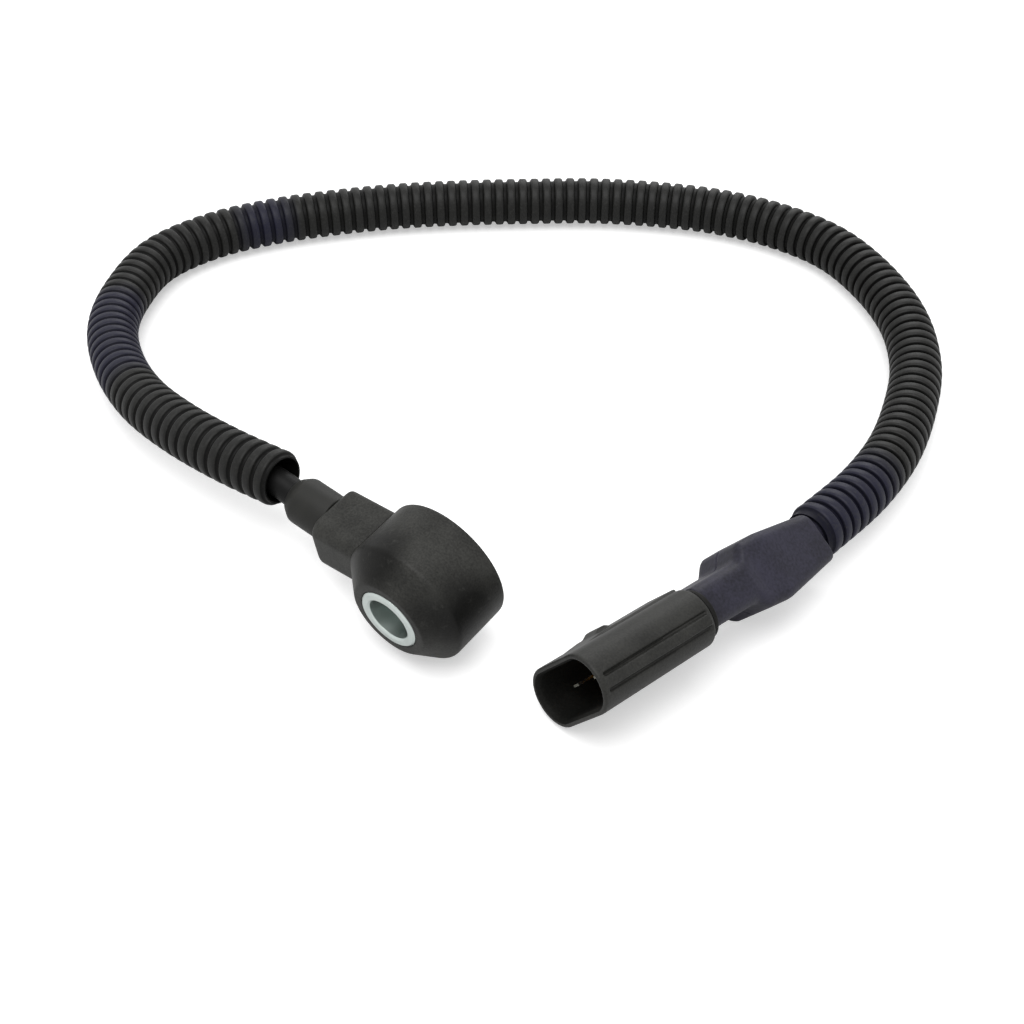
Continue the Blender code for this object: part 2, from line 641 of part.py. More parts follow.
def make_shell(parts, cutters, plug, finishes):
    """The oval connector shell with its socket, terminal cavities, latch ramp and guide ribs."""
    levels = [(0.0, SHELL_RIM - SHELL_FLARE), (-SHELL_RIM, -SHELL_FLARE),
              (SHELL_REAR_RIM - SHELL_LENGTH, 0.0), (-SHELL_LENGTH, SHELL_REAR_RIM)]
    shell = place(oval_bar("connector_shell", SHELL_WIDE, SHELL_THICK, levels),
                  parts, plug, finishes["housing"])

    half = SHELL_THICK / 2.0
    rear = SHELL_LENGTH - SHELL_REAR_RIM
    rail = [
        (RAIL_START, -SHELL_WALL / 2.0), (RAIL_START, 0.0), (LATCH_START, RAIL_HEIGHT),
        (LATCH_END, RAIL_HEIGHT), (SHELL_LENGTH, RAIL_REAR_HEIGHT),
        (SHELL_LENGTH, -SHELL_WALL),
    ]
    ramp = [
        (LATCH_START, 0.0), (LATCH_START, RAIL_HEIGHT), (LATCH_TOP_START, LATCH_HEIGHT),
        (LATCH_TOP_END, LATCH_HEIGHT), (LATCH_END, RAIL_HEIGHT), (LATCH_END, 0.0),
    ]
    for name, outline, width in (("latch_rail", rail, RAIL_WIDTH),
                                 ("latch_ramp", ramp, LATCH_WIDTH)):
        raised = loft(name, [[(-back, wide, half + thick) for back, thick in outline]
                             for wide in (-width / 2.0, width / 2.0)])
        boolean(shell, raised, "UNION", cutters)

    rib_reach = SHELL_WIDE / 2.0 + RIB_HEIGHT - RIB_OFFSET ** 2 / SHELL_THICK
    for name, side in (("upper_rib", 1.0), ("lower_rib", -1.0)):
        near = side * (SHELL_WIDE / 2.0 - RIB_SINK)
        far = side * rib_reach
        rib = block(name, (-rear, min(near, far), -side * RIB_OFFSET - RIB_WIDTH / 2.0),
                    (-RIB_START, max(near, far), -side * RIB_OFFSET + RIB_WIDTH / 2.0))
        soften(rib, RIB_HEIGHT / 2.0, 1, 60.0)
        boolean(shell, rib, "UNION", cutters)

    socket = oval_bar("socket", SHELL_WIDE, SHELL_THICK,
                      [(SHELL_WALL, SHELL_WALL), (-SOCKET_DEPTH, SHELL_WALL)])
    boolean(shell, socket, "DIFFERENCE", cutters)
    cage_room = CAGE_SIZE / 2.0 + GAP
    for index, side in enumerate((-1.0, 1.0)):
        centre = side * PIN_PITCH / 2.0
        slot = block(f"cage_slot_{index}", (-GRIP_END - GAP, centre - cage_room, -cage_room),
                     (-SOCKET_DEPTH + GAP, centre + cage_room, cage_room))
        hole = rod(f"seal_hole_{index}", SEAL_RADIUS + GAP, -SEAL_END - 2.0 * GAP,
                   -GRIP_END - GAP / 2.0, SIDES_SMALL)
        hole.rotation_euler = (0.0, math.pi / 2.0, 0.0)
        hole.location = (0.0, centre, 0.0)
        hole.parent = plug
        boolean(shell, slot, "DIFFERENCE", cutters)
        boolean(shell, hole, "DIFFERENCE", cutters)


def make_terminals(parts, cutters, plug, finishes):
    """Two tinned blades with their cages and grips, their seals and the plate that locks them."""
    lock_front = SOCKET_DEPTH - GAP - LOCK_THICKNESS
    lock = place(oval_bar("terminal_lock", SHELL_WIDE, SHELL_THICK,
                          [(-lock_front, GAP + SHELL_WALL),
                           (-lock_front - LOCK_THICKNESS, GAP + SHELL_WALL)], 12),
                 parts, plug, finishes["film"])
    for index, side in enumerate((-1.0, 1.0)):
        centre = side * PIN_PITCH / 2.0
        terminal = place(block(f"terminal_{index + 1}",
                               (-CAGE_END, centre - CAGE_SIZE / 2.0, -CAGE_SIZE / 2.0),
                               (-CAGE_START, centre + CAGE_SIZE / 2.0, CAGE_SIZE / 2.0)),
                         parts, plug, finishes["brass"])
        blade = block(f"blade_{index}",
                      (-CAGE_START - CAGE_SIZE / 2.0, centre - BLADE_WIDE / 2.0,
                       -BLADE_THICK / 2.0),
                      (-BLADE_START, centre + BLADE_WIDE / 2.0, BLADE_THICK / 2.0))
        for corner in blade.data.vertices:
            if corner.co.x > -BLADE_START - GAP:
                corner.co.y = centre + (corner.co.y - centre) * 0.6
                corner.co.z *= 0.5
        for corner in blade.data.vertices:
            if corner.co.x < -CAGE_START:
                corner.co.y = centre + (corner.co.y - centre) * 0.7
        boolean(terminal, blade, "UNION", cutters)
        grip = block(f"grip_{index}", (-GRIP_END, centre - CAGE_SIZE / 2.0, -CAGE_SIZE / 2.0),
                     (-CAGE_END + GAP, centre + CAGE_SIZE / 2.0, WIRE_RADIUS * 0.7))
        boolean(terminal, grip, "UNION", cutters)
        channel = rod(f"grip_channel_{index}", WIRE_RADIUS + GAP, -GRIP_END - GAP, -CAGE_END,
                      SIDES_SMALL)
        channel.rotation_euler = (0.0, math.pi / 2.0, 0.0)
        channel.location = (0.0, centre, 0.0)
        channel.parent = plug
        boolean(terminal, channel, "DIFFERENCE", cutters)

        opening = block(f"blade_opening_{index}",
                        (-SOCKET_DEPTH, centre - BLADE_WIDE / 2.0 - GAP,
                         -BLADE_THICK / 2.0 - GAP),
                        (-lock_front + GAP, centre + BLADE_WIDE / 2.0 + GAP,
                         BLADE_THICK / 2.0 + GAP))
        boolean(lock, opening, "DIFFERENCE", cutters)

        bore = WIRE_RADIUS + GAP
        length = SEAL_END - SEAL_START
        deep = SEAL_RADIUS - SEAL_GROOVE
        profile = [(SEAL_RADIUS, 0.0), (SEAL_RADIUS, -length / 5.0), (deep, -length * 2.0 / 5.0),
                   (SEAL_RADIUS, -length / 2.0), (deep, -length * 3.0 / 5.0),
                   (SEAL_RADIUS, -length * 4.0 / 5.0), (SEAL_RADIUS, -length),
                   (bore, -length), (bore, 0.0)]
        seal = place(turned(f"wire_seal_{index + 1}", profile, SIDES_SMALL), parts, plug,
                     finishes["rubber"])
        seal.rotation_euler = (0.0, math.pi / 2.0, 0.0)
        seal.location = (-SEAL_START, centre, 0.0)


def make_cap(parts, cutters, plug, finishes):
    """The plate behind the shell that keeps the wire seals in."""
    front = SHELL_LENGTH + GAP
    cap = place(oval_bar("seal_cap", SHELL_WIDE, SHELL_THICK,
                         [(-front, CAP_STEP), (-front - CAP_LENGTH, CAP_STEP)]),
                parts, plug, finishes["housing"])
    for index, side in enumerate((-1.0, 1.0)):
        hole = rod(f"cap_hole_{index}", WIRE_RADIUS + GAP, -front - 2.0 * CAP_LENGTH,
                   -SEAL_START, SIDES_SMALL)
        hole.rotation_euler = (0.0, math.pi / 2.0, 0.0)
        hole.location = (0.0, side * PIN_PITCH / 2.0, 0.0)
        hole.parent = plug
        boolean(cap, hole, "DIFFERENCE", cutters)


def backshell_start():
    """How far behind the mouth the backshell starts."""
    return SHELL_LENGTH + GAP + CAP_LENGTH + GAP


def backshell_body(name, inset):
    """The whole form before it is split, or the hollow in it, whose sides lie inset."""
    start = backshell_start()
    front = start - (GAP if inset else 0.0)
    rear = start + BACKSHELL_LENGTH - inset
    shoulder = start + SHOULDER_START
    neck = (NECK_HALF_WIDE, NECK_ABOVE, NECK_BELOW, NECK_EDGE)
    body = (BODY_HALF_WIDE, BODY_ABOVE, BODY_BELOW, BODY_CORNER)
    stations = [(front, neck), (shoulder, neck), (shoulder + SHOULDER_RUN, body),
                (start + TAPER_START, body),
                (rear, (REAR_HALF_WIDE, REAR_ABOVE, REAR_BELOW, BODY_CORNER))]
    sections = []
    for back, (half_wide, above, below, corner) in stations:
        tilt = math.tan(CONDUIT_TURN) if back == rear else 0.0
        outline = rounded_outline(half_wide - inset, above - inset, below - inset,
                                  corner - inset, corner - inset)
        sections.append([(-back + tilt * (thick - CONDUIT_SHIFT), across, thick)
                         for across, thick in outline])
    return loft(name, sections)


def make_backshell(parts, cutters, plug, seat_place, finishes):
    """Two halves that meet on the plane through the cable, hollow, with a split spigot behind."""
    end = backshell_start() + BACKSHELL_LENGTH
    spigot_radius = CONDUIT_RADIUS - CONDUIT_WALL - 2.0 * GAP
    reach = 2.0 * NECK_HALF_WIDE
    for name, side in (("backshell_upper", 1.0), ("backshell_lower", -1.0)):
        half = place(backshell_body(name, 0.0), parts, plug, finishes["housing"])
        hollow = backshell_body(name + "_hollow", BACKSHELL_WALL)
        boolean(half, hollow, "DIFFERENCE", cutters)
        spigot = rod(name + "_spigot", spigot_radius, -CONDUIT_GRIP, BACKSHELL_WALL / 2.0,
                     SIDES_STACK)
        passage = rod(name + "_passage", CABLE_RADIUS + GAP, -2.0 * CONDUIT_GRIP,
                      2.0 * BACKSHELL_WALL, SIDES_STACK)
        for tool, operation in ((spigot, "UNION"), (passage, "DIFFERENCE")):
            tool.rotation_euler = (0.0, math.pi / 2.0, 0.0)
            tool.parent = seat_place
            boolean(half, tool, operation, cutters)
        low, high = sorted((side * GAP / 2.0, -side * reach))
        away = block(name + "_parting", (-end - reach, low, -reach), (0.0, high, reach))
        boolean(half, away, "DIFFERENCE", cutters)


def make_plug_wires(parts, plug, seat_place, finishes):
    """The two leads from the terminals, through seals and cap, to the end of the cable."""
    to_plug = plug.matrix_world.inverted() @ seat_place.matrix_world
    inside_cap = SHELL_LENGTH + GAP + CAP_LENGTH
    for index, side in enumerate((-1.0, 1.0)):
        centre = side * PIN_PITCH / 2.0
        together = side * 1.3 * WIRE_RADIUS
        finish = to_plug @ Vector((JACKET_ENTRY + GAP, together, 0.0))
        before = to_plug @ Vector((JACKET_ENTRY + GAP + WIRE_RADIUS, together, 0.0))
        start = Vector((-inside_cap - WIRE_RADIUS, centre, 0.0))
        route = [
            (-CAGE_END - GAP, centre, 0.0), (-SEAL_START, centre, 0.0),
            (-SHELL_LENGTH, centre, 0.0), start, (start + before) / 2.0, before, finish,
        ]
        place(tube(f"plug_lead_{index + 1}", smooth_route(route, 1.6 * WIRE_RADIUS),
                   WIRE_RADIUS, 2), parts, plug, finishes["lead"])


def make_cords(parts, cable_exit, seat_place, finishes):
    """The cable from the boss to the backshell, and the corrugated conduit that it runs in."""
    def on_seat(*distances):
        return [tuple(seat_place.matrix_world @ Vector((along, 0.0, 0.0)))
                for along in distances]

    route = [tuple(value * MM for value in point) for point in CONDUIT_ROUTE]
    conduit_route = route + on_seat(-CONDUIT_STOP)
    conduit = tube_mesh("corrugated_conduit", smooth_route(conduit_route, CORD_STEP),
                        CONDUIT_RADIUS, 4, caps=False)
    wall = conduit.modifiers.new("wall", "SOLIDIFY")
    wall.thickness = CONDUIT_WALL
    wall.offset = -1.0
    place(conduit, parts, None, finishes["conduit"])

    leaving = [tuple(cable_exit.matrix_world @ Vector((0.0, 0.0, height)))
               for height in (-CABLE_INSERT, COLLAR_START, COLLAR_END)]
    lead_in = [tuple(value * MM for value in point) for point in CABLE_LEAD_IN]
    cable_route = leaving + lead_in + route[1:] + on_seat(0.0, JACKET_ENTRY)
    place(tube("cable_jacket", smooth_route(cable_route, CORD_STEP / 1.5), CABLE_RADIUS, 2),
          parts, None, finishes["jacket"])


def build():
    clear_scene()
    parts = new_collection(PART)
    cutters = new_collection("cutters")
    finishes = make_materials()
    levels = stack_levels()

    head, cable_exit = head_frames(parts)
    make_sleeve(parts, head, finishes)
    make_stack(parts, cutters, head, finishes, levels)
    make_housing(parts, cutters, head, cable_exit, finishes, levels)
    make_collar(parts, cable_exit, finishes)
    make_head_wires(parts, head, cable_exit, finishes, levels)

    plug = connector_frame(parts)
    make_shell(parts, cutters, plug, finishes)
    make_terminals(parts, cutters, plug, finishes)
    make_cap(parts, cutters, plug, finishes)
    seat_place = seat_frame(parts, plug)
    make_backshell(parts, cutters, plug, seat_place, finishes)
    make_plug_wires(parts, plug, seat_place, finishes)
    make_cords(parts, cable_exit, seat_place, finishes)
    bpy.context.view_layer.update()


build()
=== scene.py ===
"""The looks of an engine knock sensor with its lead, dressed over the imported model.

Every length is in metres, and MM turns a size in millimetres into metres. The head, the connector
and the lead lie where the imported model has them.
"""

import math

import bmesh
import bpy
import numpy as np
from mathutils import Matrix, Vector


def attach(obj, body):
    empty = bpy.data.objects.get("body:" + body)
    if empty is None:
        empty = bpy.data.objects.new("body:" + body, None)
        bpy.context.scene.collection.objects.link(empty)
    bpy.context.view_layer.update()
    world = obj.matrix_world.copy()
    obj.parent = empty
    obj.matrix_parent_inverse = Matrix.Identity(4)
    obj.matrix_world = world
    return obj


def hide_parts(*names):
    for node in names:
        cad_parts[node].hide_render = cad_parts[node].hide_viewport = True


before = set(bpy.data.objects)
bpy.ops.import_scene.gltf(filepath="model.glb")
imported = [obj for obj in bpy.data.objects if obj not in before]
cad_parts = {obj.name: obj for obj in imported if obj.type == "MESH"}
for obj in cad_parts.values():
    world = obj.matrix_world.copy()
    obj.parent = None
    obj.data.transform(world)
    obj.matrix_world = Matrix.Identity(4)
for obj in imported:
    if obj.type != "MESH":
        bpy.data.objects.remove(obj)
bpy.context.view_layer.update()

bl_info = {
    "name": "Knock Sensor Looks",
    "version": (1, 0, 0),
    "blender": (4, 5, 0),
    "location": "3D View > Sidebar > Knock Sensor",
    "description": "Dresses a knock sensor, its corrugated lead and its oval connector",
    "category": "Add Mesh",
}

MM = 0.001
BODY = "root"
GAP = 0.3 * MM            # between the sleeve's flange and the body
EXIT_LEAN = 9.0           # degrees between the cable and the boss's end
SEAT_LEAN = 6.0           # degrees between the conduit's seat and the connector
SEAT_RISE = 1.2           # the seat above the connector's middle, in millimetres
BACKSHELL_END = 57.0      # from the mouth to the backshell's end, in millimetres
PIN_PLACES = (-3.6 * MM, 3.6 * MM)


def turn(degrees, axis):
    return Matrix.Rotation(math.radians(degrees), 4, axis)


def shift(across, along, up):
    return Matrix.Translation(Vector((across, along, up)) * MM)


# The head's frame has its bolt axis on local Z, with the nose up. The cable leaves it along the
# exit's Z. The connector's frame is at the middle of its mouth, with X out of it and Y its wide
# way. The conduit leaves the backshell along the seat's -X.
HEAD = shift(10.6, 8.3, 13.974) @ turn(98.1, "X") @ turn(2.5, "Z")
CABLE_EXIT = HEAD @ shift(-23.3, -0.55, 5.0) @ turn(-EXIT_LEAN, "Z") @ turn(-90.0, "Y")
PLUG = shift(43.3, -1.6, 10.417) @ turn(258.9, "Z") @ turn(-2.0, "Y") @ turn(52.6, "X")
SEAT = PLUG @ shift(-BACKSHELL_END, 0.0, SEAT_RISE) @ turn(SEAT_LEAN, "Y")

# Centre line of the conduit in millimetres, from the sensor's end to the backshell
CONDUIT_ROUTE = [
    (-26.2, 3.6, 14.4), (-40.4, 3.0, 13.4), (-55.2, 4.1, 11.7), (-69.6, 7.1, 9.8),
    (-83.5, 13.0, 8.1), (-95.8, 21.5, 6.8), (-104.5, 32.6, 5.8), (-110.0, 46.6, 5.5),
    (-108.0, 61.3, 5.5), (-101.4, 74.8, 5.5), (-92.7, 87.0, 5.5), (-83.0, 98.4, 5.5),
    (-72.3, 108.9, 5.5), (-61.1, 118.8, 5.5), (-49.5, 128.5, 5.5), (-37.0, 136.7, 5.5),
    (-23.5, 143.3, 5.5), (-9.1, 146.9, 5.5), (5.7, 146.5, 5.5), (20.0, 140.4, 5.5),
    (32.5, 131.0, 5.5), (41.9, 118.8, 5.5), (48.0, 105.2, 6.0), (52.5, 90.2, 6.9),
    (54.4, 75.1, 8.1), (54.0, 61.2, 9.0),
]
# Where the cable runs between the collar and the conduit's second point
CABLE_LEAD_IN = [(-26.8, 3.2, 13.8), (-33.3, 3.0, 13.7)]


def linear_rgb(code):
    """A linear colour with full alpha from an sRGB hex code such as "3a3a38"."""
    values = [int(code[start:start + 2], 16) / 255.0 for start in (0, 2, 4)]
    turned_linear = [v / 12.92 if v <= 0.04045 else ((v + 0.055) / 1.055) ** 2.4 for v in values]
    return (*turned_linear, 1.0)


# Sizes and colours that someone may want to change

def length(name, text, value):
    """A length property, given in millimetres."""
    return bpy.props.FloatProperty(name=name, description=text, unit="LENGTH",
                                   default=value * MM, precision=5)


def shade(name, text, code):
    """A colour property, given as an sRGB hex code."""
    return bpy.props.FloatVectorProperty(name=name, description=text, subtype="COLOR", size=4,
                                         min=0.0, max=1.0, default=linear_rgb(code))


class KNOCK_PG_stage(bpy.types.PropertyGroup):
    """Camera and floor"""

    camera_place: bpy.props.FloatVectorProperty(
        name="Camera Place", description="Where the camera stands", subtype="XYZ_LENGTH",
        unit="LENGTH", default=(0.1447, -0.1411, 0.2047))
    camera_pitch: bpy.props.FloatProperty(
        name="Camera Pitch", description="How far the camera looks down", subtype="ANGLE",
        default=math.radians(42.0))
    camera_heading: bpy.props.FloatProperty(
        name="Camera Heading", description="Which way the camera faces", subtype="ANGLE",
        default=math.radians(39.0))
    focal_length: bpy.props.FloatProperty(
        name="Focal Length", description="Lens, in millimetres on a 36 mm sensor",
        default=56.18)
    floor_colour: shade("Floor", "Colour of the floor", "e6e6e6")


class KNOCK_PG_head(bpy.types.PropertyGroup):
    """The sensor's head"""

    bore_radius: length("Bore", "Radius of the bolt's bore", 4.2)
    sleeve_radius: length("Sleeve", "Outer radius of the steel sleeve", 5.9)
    sleeve_height: length("Sleeve Height", "From the contact face to the nose end", 17.3)
    flange_radius: length("Flange", "Radius of the contact flange", 10.0)
    body_radius: length("Body", "Radius of the straight wall", 12.35)
    shoulder: length("Shoulder", "Height where the wall turns into the cone", 12.8)
    nose_radius: length("Nose", "Radius where the cone ends", 8.0)
    nose_height: length("Nose Height", "Height of the plastic's end face", 17.0)
    boss_tall: length("Boss Width", "The cable boss across", 10.5)
    boss_deep: length("Boss Depth", "The cable boss along the bolt", 11.4)
    boss_reach: length("Boss Reach", "From the bolt's axis to the boss's end", 23.3)
    collar_radius: length("Collar", "Radius of the cable collar", 4.55)
    polyamide: shade("Head Plastic", "Colour of the moulded body", "30302e")
    zinc: shade("Zinc", "Colour of the plated sleeve", "c6cecb")


class KNOCK_PG_lead(bpy.types.PropertyGroup):
    """The cable and its conduit"""

    cable_radius: length("Cable", "Radius of the cable", 2.7)
    crest_radius: length("Crest", "Radius of the conduit's crests", 5.3)
    valley_radius: length("Valley", "Radius of the conduit's valleys", 4.6)
    bore_radius: length("Conduit Bore", "Radius inside the conduit", 4.0)
    pitch: length("Pitch", "From one crest to the next", 2.8)
    plain_end: length("Plain End", "Smooth length next to the backshell", 0.4)
    polyamide: shade("Conduit Plastic", "Colour of the conduit", "1d1d1c")
    tint: shade("Conduit Tint", "Where the conduit turns bluish", "1f1f2d")
    jacket: shade("Jacket", "Colour of the cable", "101010")


class KNOCK_PG_connector(bpy.types.PropertyGroup):
    """The connector and its backshell"""

    shell_wide: length("Shell Width", "The oval shell across", 21.3)
    shell_thick: length("Shell Thickness", "The oval shell's narrow way", 10.6)
    shell_length: length("Shell Length", "From the mouth to the shell's end", 25.0)
    shell_wall: length("Shell Wall", "Wall round the socket", 0.95)
    socket_depth: length("Socket Depth", "From the mouth to the socket's floor", 14.0)
    rib_width: length("Rib Width", "Guide rib on the round sides", 1.95)
    latch_height: length("Latch Height", "Latch ramp above the flat side", 1.2)
    polyamide: shade("Shell Plastic", "Colour of the connector's shell", "242422")
    backshell: shade("Backshell Plastic", "Colour of the backshell", "25242f")


# Materials

# Middles of the dark patches of painted shade on the head, in millimetres in the head's frame
PAINTED_SHADE_SPOTS = [(-4.0, 10.7, 13.6), (12.2, 2.0, 9.5), (6.2, 3.0, 12.0)]

# Where the conduit was bent and handled, two on the loop's left and one next to the backshell:
# the middle, how far it is fully bluish and how far it shows at all, in millimetres
BLUE_STRETCHES = [((-89.5, 16.5, 7.4), 15.0, 20.0), ((-102.6, 72.5, 5.5), 5.5, 9.5),
                  ((54.0, 62.0, 9.0), 14.0, 22.0)]


def add_node(tree, kind, settings=None, links=None):
    """Add a node, set its sockets or properties by name, and link other sockets into it."""
    node = tree.nodes.new(kind)
    for key, value in (settings or {}).items():
        if isinstance(key, int) or key in node.inputs:
            node.inputs[key].default_value = value
        else:
            setattr(node, key, value)
    for key, source in (links or {}).items():
        tree.links.new(source, node.inputs[key])
    return node


def new_material(name):
    """An empty node material, its tree and its output node."""
    made = bpy.data.materials.new(name)
    made.use_nodes = True
    tree = made.node_tree
    tree.nodes.clear()
    output = tree.nodes.new("ShaderNodeOutputMaterial")
    return made, tree, output


def own_place(tree):
    """The places on the object that its textures follow."""
    return add_node(tree, "ShaderNodeTexCoord").outputs["Object"]


def noise(tree, place, width, detail, roughness=0.5):
    """A factor that varies over some width millimetres."""
    return add_node(tree, "ShaderNodeTexNoise",
                    {"Scale": 1.0 / (width * MM), "Detail": detail, "Roughness": roughness},
                    {"Vector": place}).outputs["Fac"]


def line_scale(width):
    """The scale that draws a wave texture's lines width millimetres apart."""
    return math.pi / (10.0 * width * MM)


def remap(tree, value, low, high, start=0.0, end=1.0):
    """A value between low and high, as the given one goes from start to end."""
    return add_node(tree, "ShaderNodeMapRange",
                    {"From Min": start, "From Max": end, "To Min": low, "To Max": high},
                    {"Value": value}).outputs[0]


def near(tree, place, spot, full, none, most=1.0):
    """A factor that is at its most within full millimetres of a spot, and 0 beyond none."""
    away = add_node(tree, "ShaderNodeVectorMath", {"operation": "DISTANCE", 1: spot}, {0: place})
    return remap(tree, away.outputs["Value"], 0.0, most, none * MM, full * MM)


def largest(tree, first, *others):
    """The largest of some factors."""
    for other in others:
        first = add_node(tree, "ShaderNodeMath", {"operation": "MAXIMUM"},
                         {0: first, 1: other}).outputs[0]
    return first


def between(tree, factor, first, second):
    """A colour that a factor takes from the first, a colour or an output, to the second."""
    mix = add_node(tree, "ShaderNodeMix", {"data_type": "RGBA"}, {0: factor})
    if isinstance(first, bpy.types.NodeSocket):
        tree.links.new(first, mix.inputs[6])
    else:
        mix.inputs[6].default_value = first
    mix.inputs[7].default_value = second
    return mix.outputs[2]


def scaled(colour, by):
    return tuple(min(1.0, value * by) for value in colour[:3]) + (1.0,)


def close_material(tree, output, settings, links, height, strength, depth):
    """End a material in a Principled shader with a bump that is depth millimetres deep."""
    bump = add_node(tree, "ShaderNodeBump", {"Strength": strength, "Distance": depth * MM},
                    {"Height": height})
    shader = add_node(tree, "ShaderNodeBsdfPrincipled", settings,
                      {**links, "Normal": bump.outputs["Normal"]})
    tree.links.new(shader.outputs[0], output.inputs[0])


def moulded_polyamide(name, colour, roughness, grit=0.35, shine=0.2, shaded_spots=()):
    """Glass-filled polyamide from a mould: dull charcoal with a flow mottle and a grained skin.

    The mottle is some 6 mm wide, as the melt leaves it. The grain is grit millimetres wide,
    coarser than the real one, because it would not show otherwise. Scuffed spots are a little
    lighter. The glass fibres at the skin break its gloss, so the specular level, shine, is low.
    The last argument holds the middles of darker patches of painted shade.
    """
    made, tree, output = new_material(name)
    place = own_place(tree)
    mottle = noise(tree, place, 6.0, 4.0)
    grain = noise(tree, place, grit, 3.0)
    scuff = noise(tree, place, 1.8, 6.0, 0.7)
    both = add_node(tree, "ShaderNodeMath", {"operation": "ADD"}, {0: mottle, 1: grain})
    tone = remap(tree, both.outputs[0], 0.0, 1.0, 0.75, 1.25)
    base = between(tree, tone, scaled(colour, 0.62), scaled(colour, 1.42))
    # Darker patches round the given spots are painted shade
    for spot in shaded_spots:
        base = between(tree, near(tree, place, spot, 3.5, 8.0, 0.85), base, scaled(colour, 0.15))
    worn = remap(tree, scuff, 0.0, 0.4, 0.58, 0.72)
    base = between(tree, worn, base, scaled(colour, 1.9))
    rough = remap(tree, mottle, roughness - 0.07, roughness + 0.08)
    close_material(tree, output, {"IOR": 1.53, "Specular IOR Level": shine},
                   {"Base Color": base, "Roughness": rough}, grain, 0.5, 0.05)
    return made


def extruded_conduit(name, colour, tint, shine):
    """Extruded and corrugated polyamide: a waxy black skin with bluish stretches and fine dust.

    The dust is 0.5 mm wide so that it shows.
    """
    made, tree, output = new_material(name)
    place = own_place(tree)
    blue = largest(tree, *[near(tree, place, Vector(spot) * MM, full, none)
                           for spot, full, none in BLUE_STRETCHES])
    dust = noise(tree, place, 0.5, 5.0, 0.65)
    base = between(tree, blue, colour, tint)
    base = between(tree, remap(tree, dust, 0.0, 0.45, 0.5, 0.7), base, scaled(colour, 3.0))
    close_material(tree, output, {"IOR": 1.53, "Specular IOR Level": shine},
                   {"Base Color": base, "Roughness": remap(tree, dust, 0.34, 0.55)},
                   dust, 0.25, 0.03)
    return made


def soft_polymer(name, colour, roughness, spot, ior=1.5, shine=0.5):
    """A soft extruded or moulded polymer: even colour, a faint bloom and a fine skin.

    spot is the width of its bloom in millimetres. The skin is a tenth of that.
    """
    made, tree, output = new_material(name)
    place = own_place(tree)
    bloom = noise(tree, place, spot, 4.0)
    skin = noise(tree, place, spot / 10.0, 2.0)
    tone = between(tree, bloom, scaled(colour, 0.8), scaled(colour, 1.3))
    rough = remap(tree, bloom, roughness - 0.06, roughness + 0.1)
    close_material(tree, output, {"IOR": ior, "Specular IOR Level": shine},
                   {"Base Color": tone, "Roughness": rough}, skin, 0.2, 0.02)
    return made


def turned_metal(name, colour, roughness, mark):
    """Metal from a lathe: fine rings round the bolt's axis under a cloudy passivation.

    mark is the feed of the tool in millimetres, drawn several times the real one to show.
    """
    made, tree, output = new_material(name)
    back = HEAD.inverted()
    place = add_node(tree, "ShaderNodeMapping",
                     {"Location": back.translation, "Rotation": back.to_euler()},
                     {"Vector": own_place(tree)}).outputs[0]
    cloud = noise(tree, place, 2.5, 5.0)
    rings = add_node(tree, "ShaderNodeTexWave",
                     {"wave_type": "RINGS", "rings_direction": "Z", "Scale": line_scale(mark),
                      "Distortion": 0.6, "Detail": 2.0}, {"Vector": place})
    tone = between(tree, cloud, scaled(colour, 0.88), scaled(colour, 1.06))
    rough = remap(tree, cloud, roughness - 0.08, roughness + 0.12)
    close_material(tree, output, {"Metallic": 1.0}, {"Base Color": tone, "Roughness": rough},
                   rings.outputs["Fac"], 0.18, 0.01)
    return made


def stamped_brass(name):
    """Brass strip, stamped and tinned: silvery, with brass showing where the tin is thin.

    The thin spots are 0.8 mm wide, and the rolling lines run along the strip, 0.15 mm apart.
    """
    made, tree, output = new_material(name)
    place = own_place(tree)
    thin = noise(tree, place, 0.8, 4.0)
    tone = between(tree, remap(tree, thin, 0.0, 1.0, 0.5, 0.7), linear_rgb("7c7b75"),
                   linear_rgb("706d60"))
    lines = add_node(tree, "ShaderNodeTexWave",
                     {"wave_type": "BANDS", "Scale": line_scale(0.15), "Distortion": 1.5},
                     {"Vector": place})
    close_material(tree, output, {"Metallic": 1.0},
                   {"Base Color": tone, "Roughness": remap(tree, thin, 0.24, 0.42)},
                   lines.outputs["Fac"], 0.12, 0.01)
    return made


def fired_ceramic(name):
    """Lead zirconate titanate, pressed and fired: tan, matt and speckled at 0.3 mm."""
    made, tree, output = new_material(name)
    speck = add_node(tree, "ShaderNodeTexVoronoi", {"Scale": 1.0 / (0.3 * MM)},
                     {"Vector": own_place(tree)}).outputs["Distance"]
    tone = between(tree, speck, linear_rgb("b39b6d"), linear_rgb("8d7a55"))
    close_material(tree, output, {"Roughness": 0.6, "IOR": 1.7}, {"Base Color": tone},
                   speck, 0.3, 0.02)
    return made


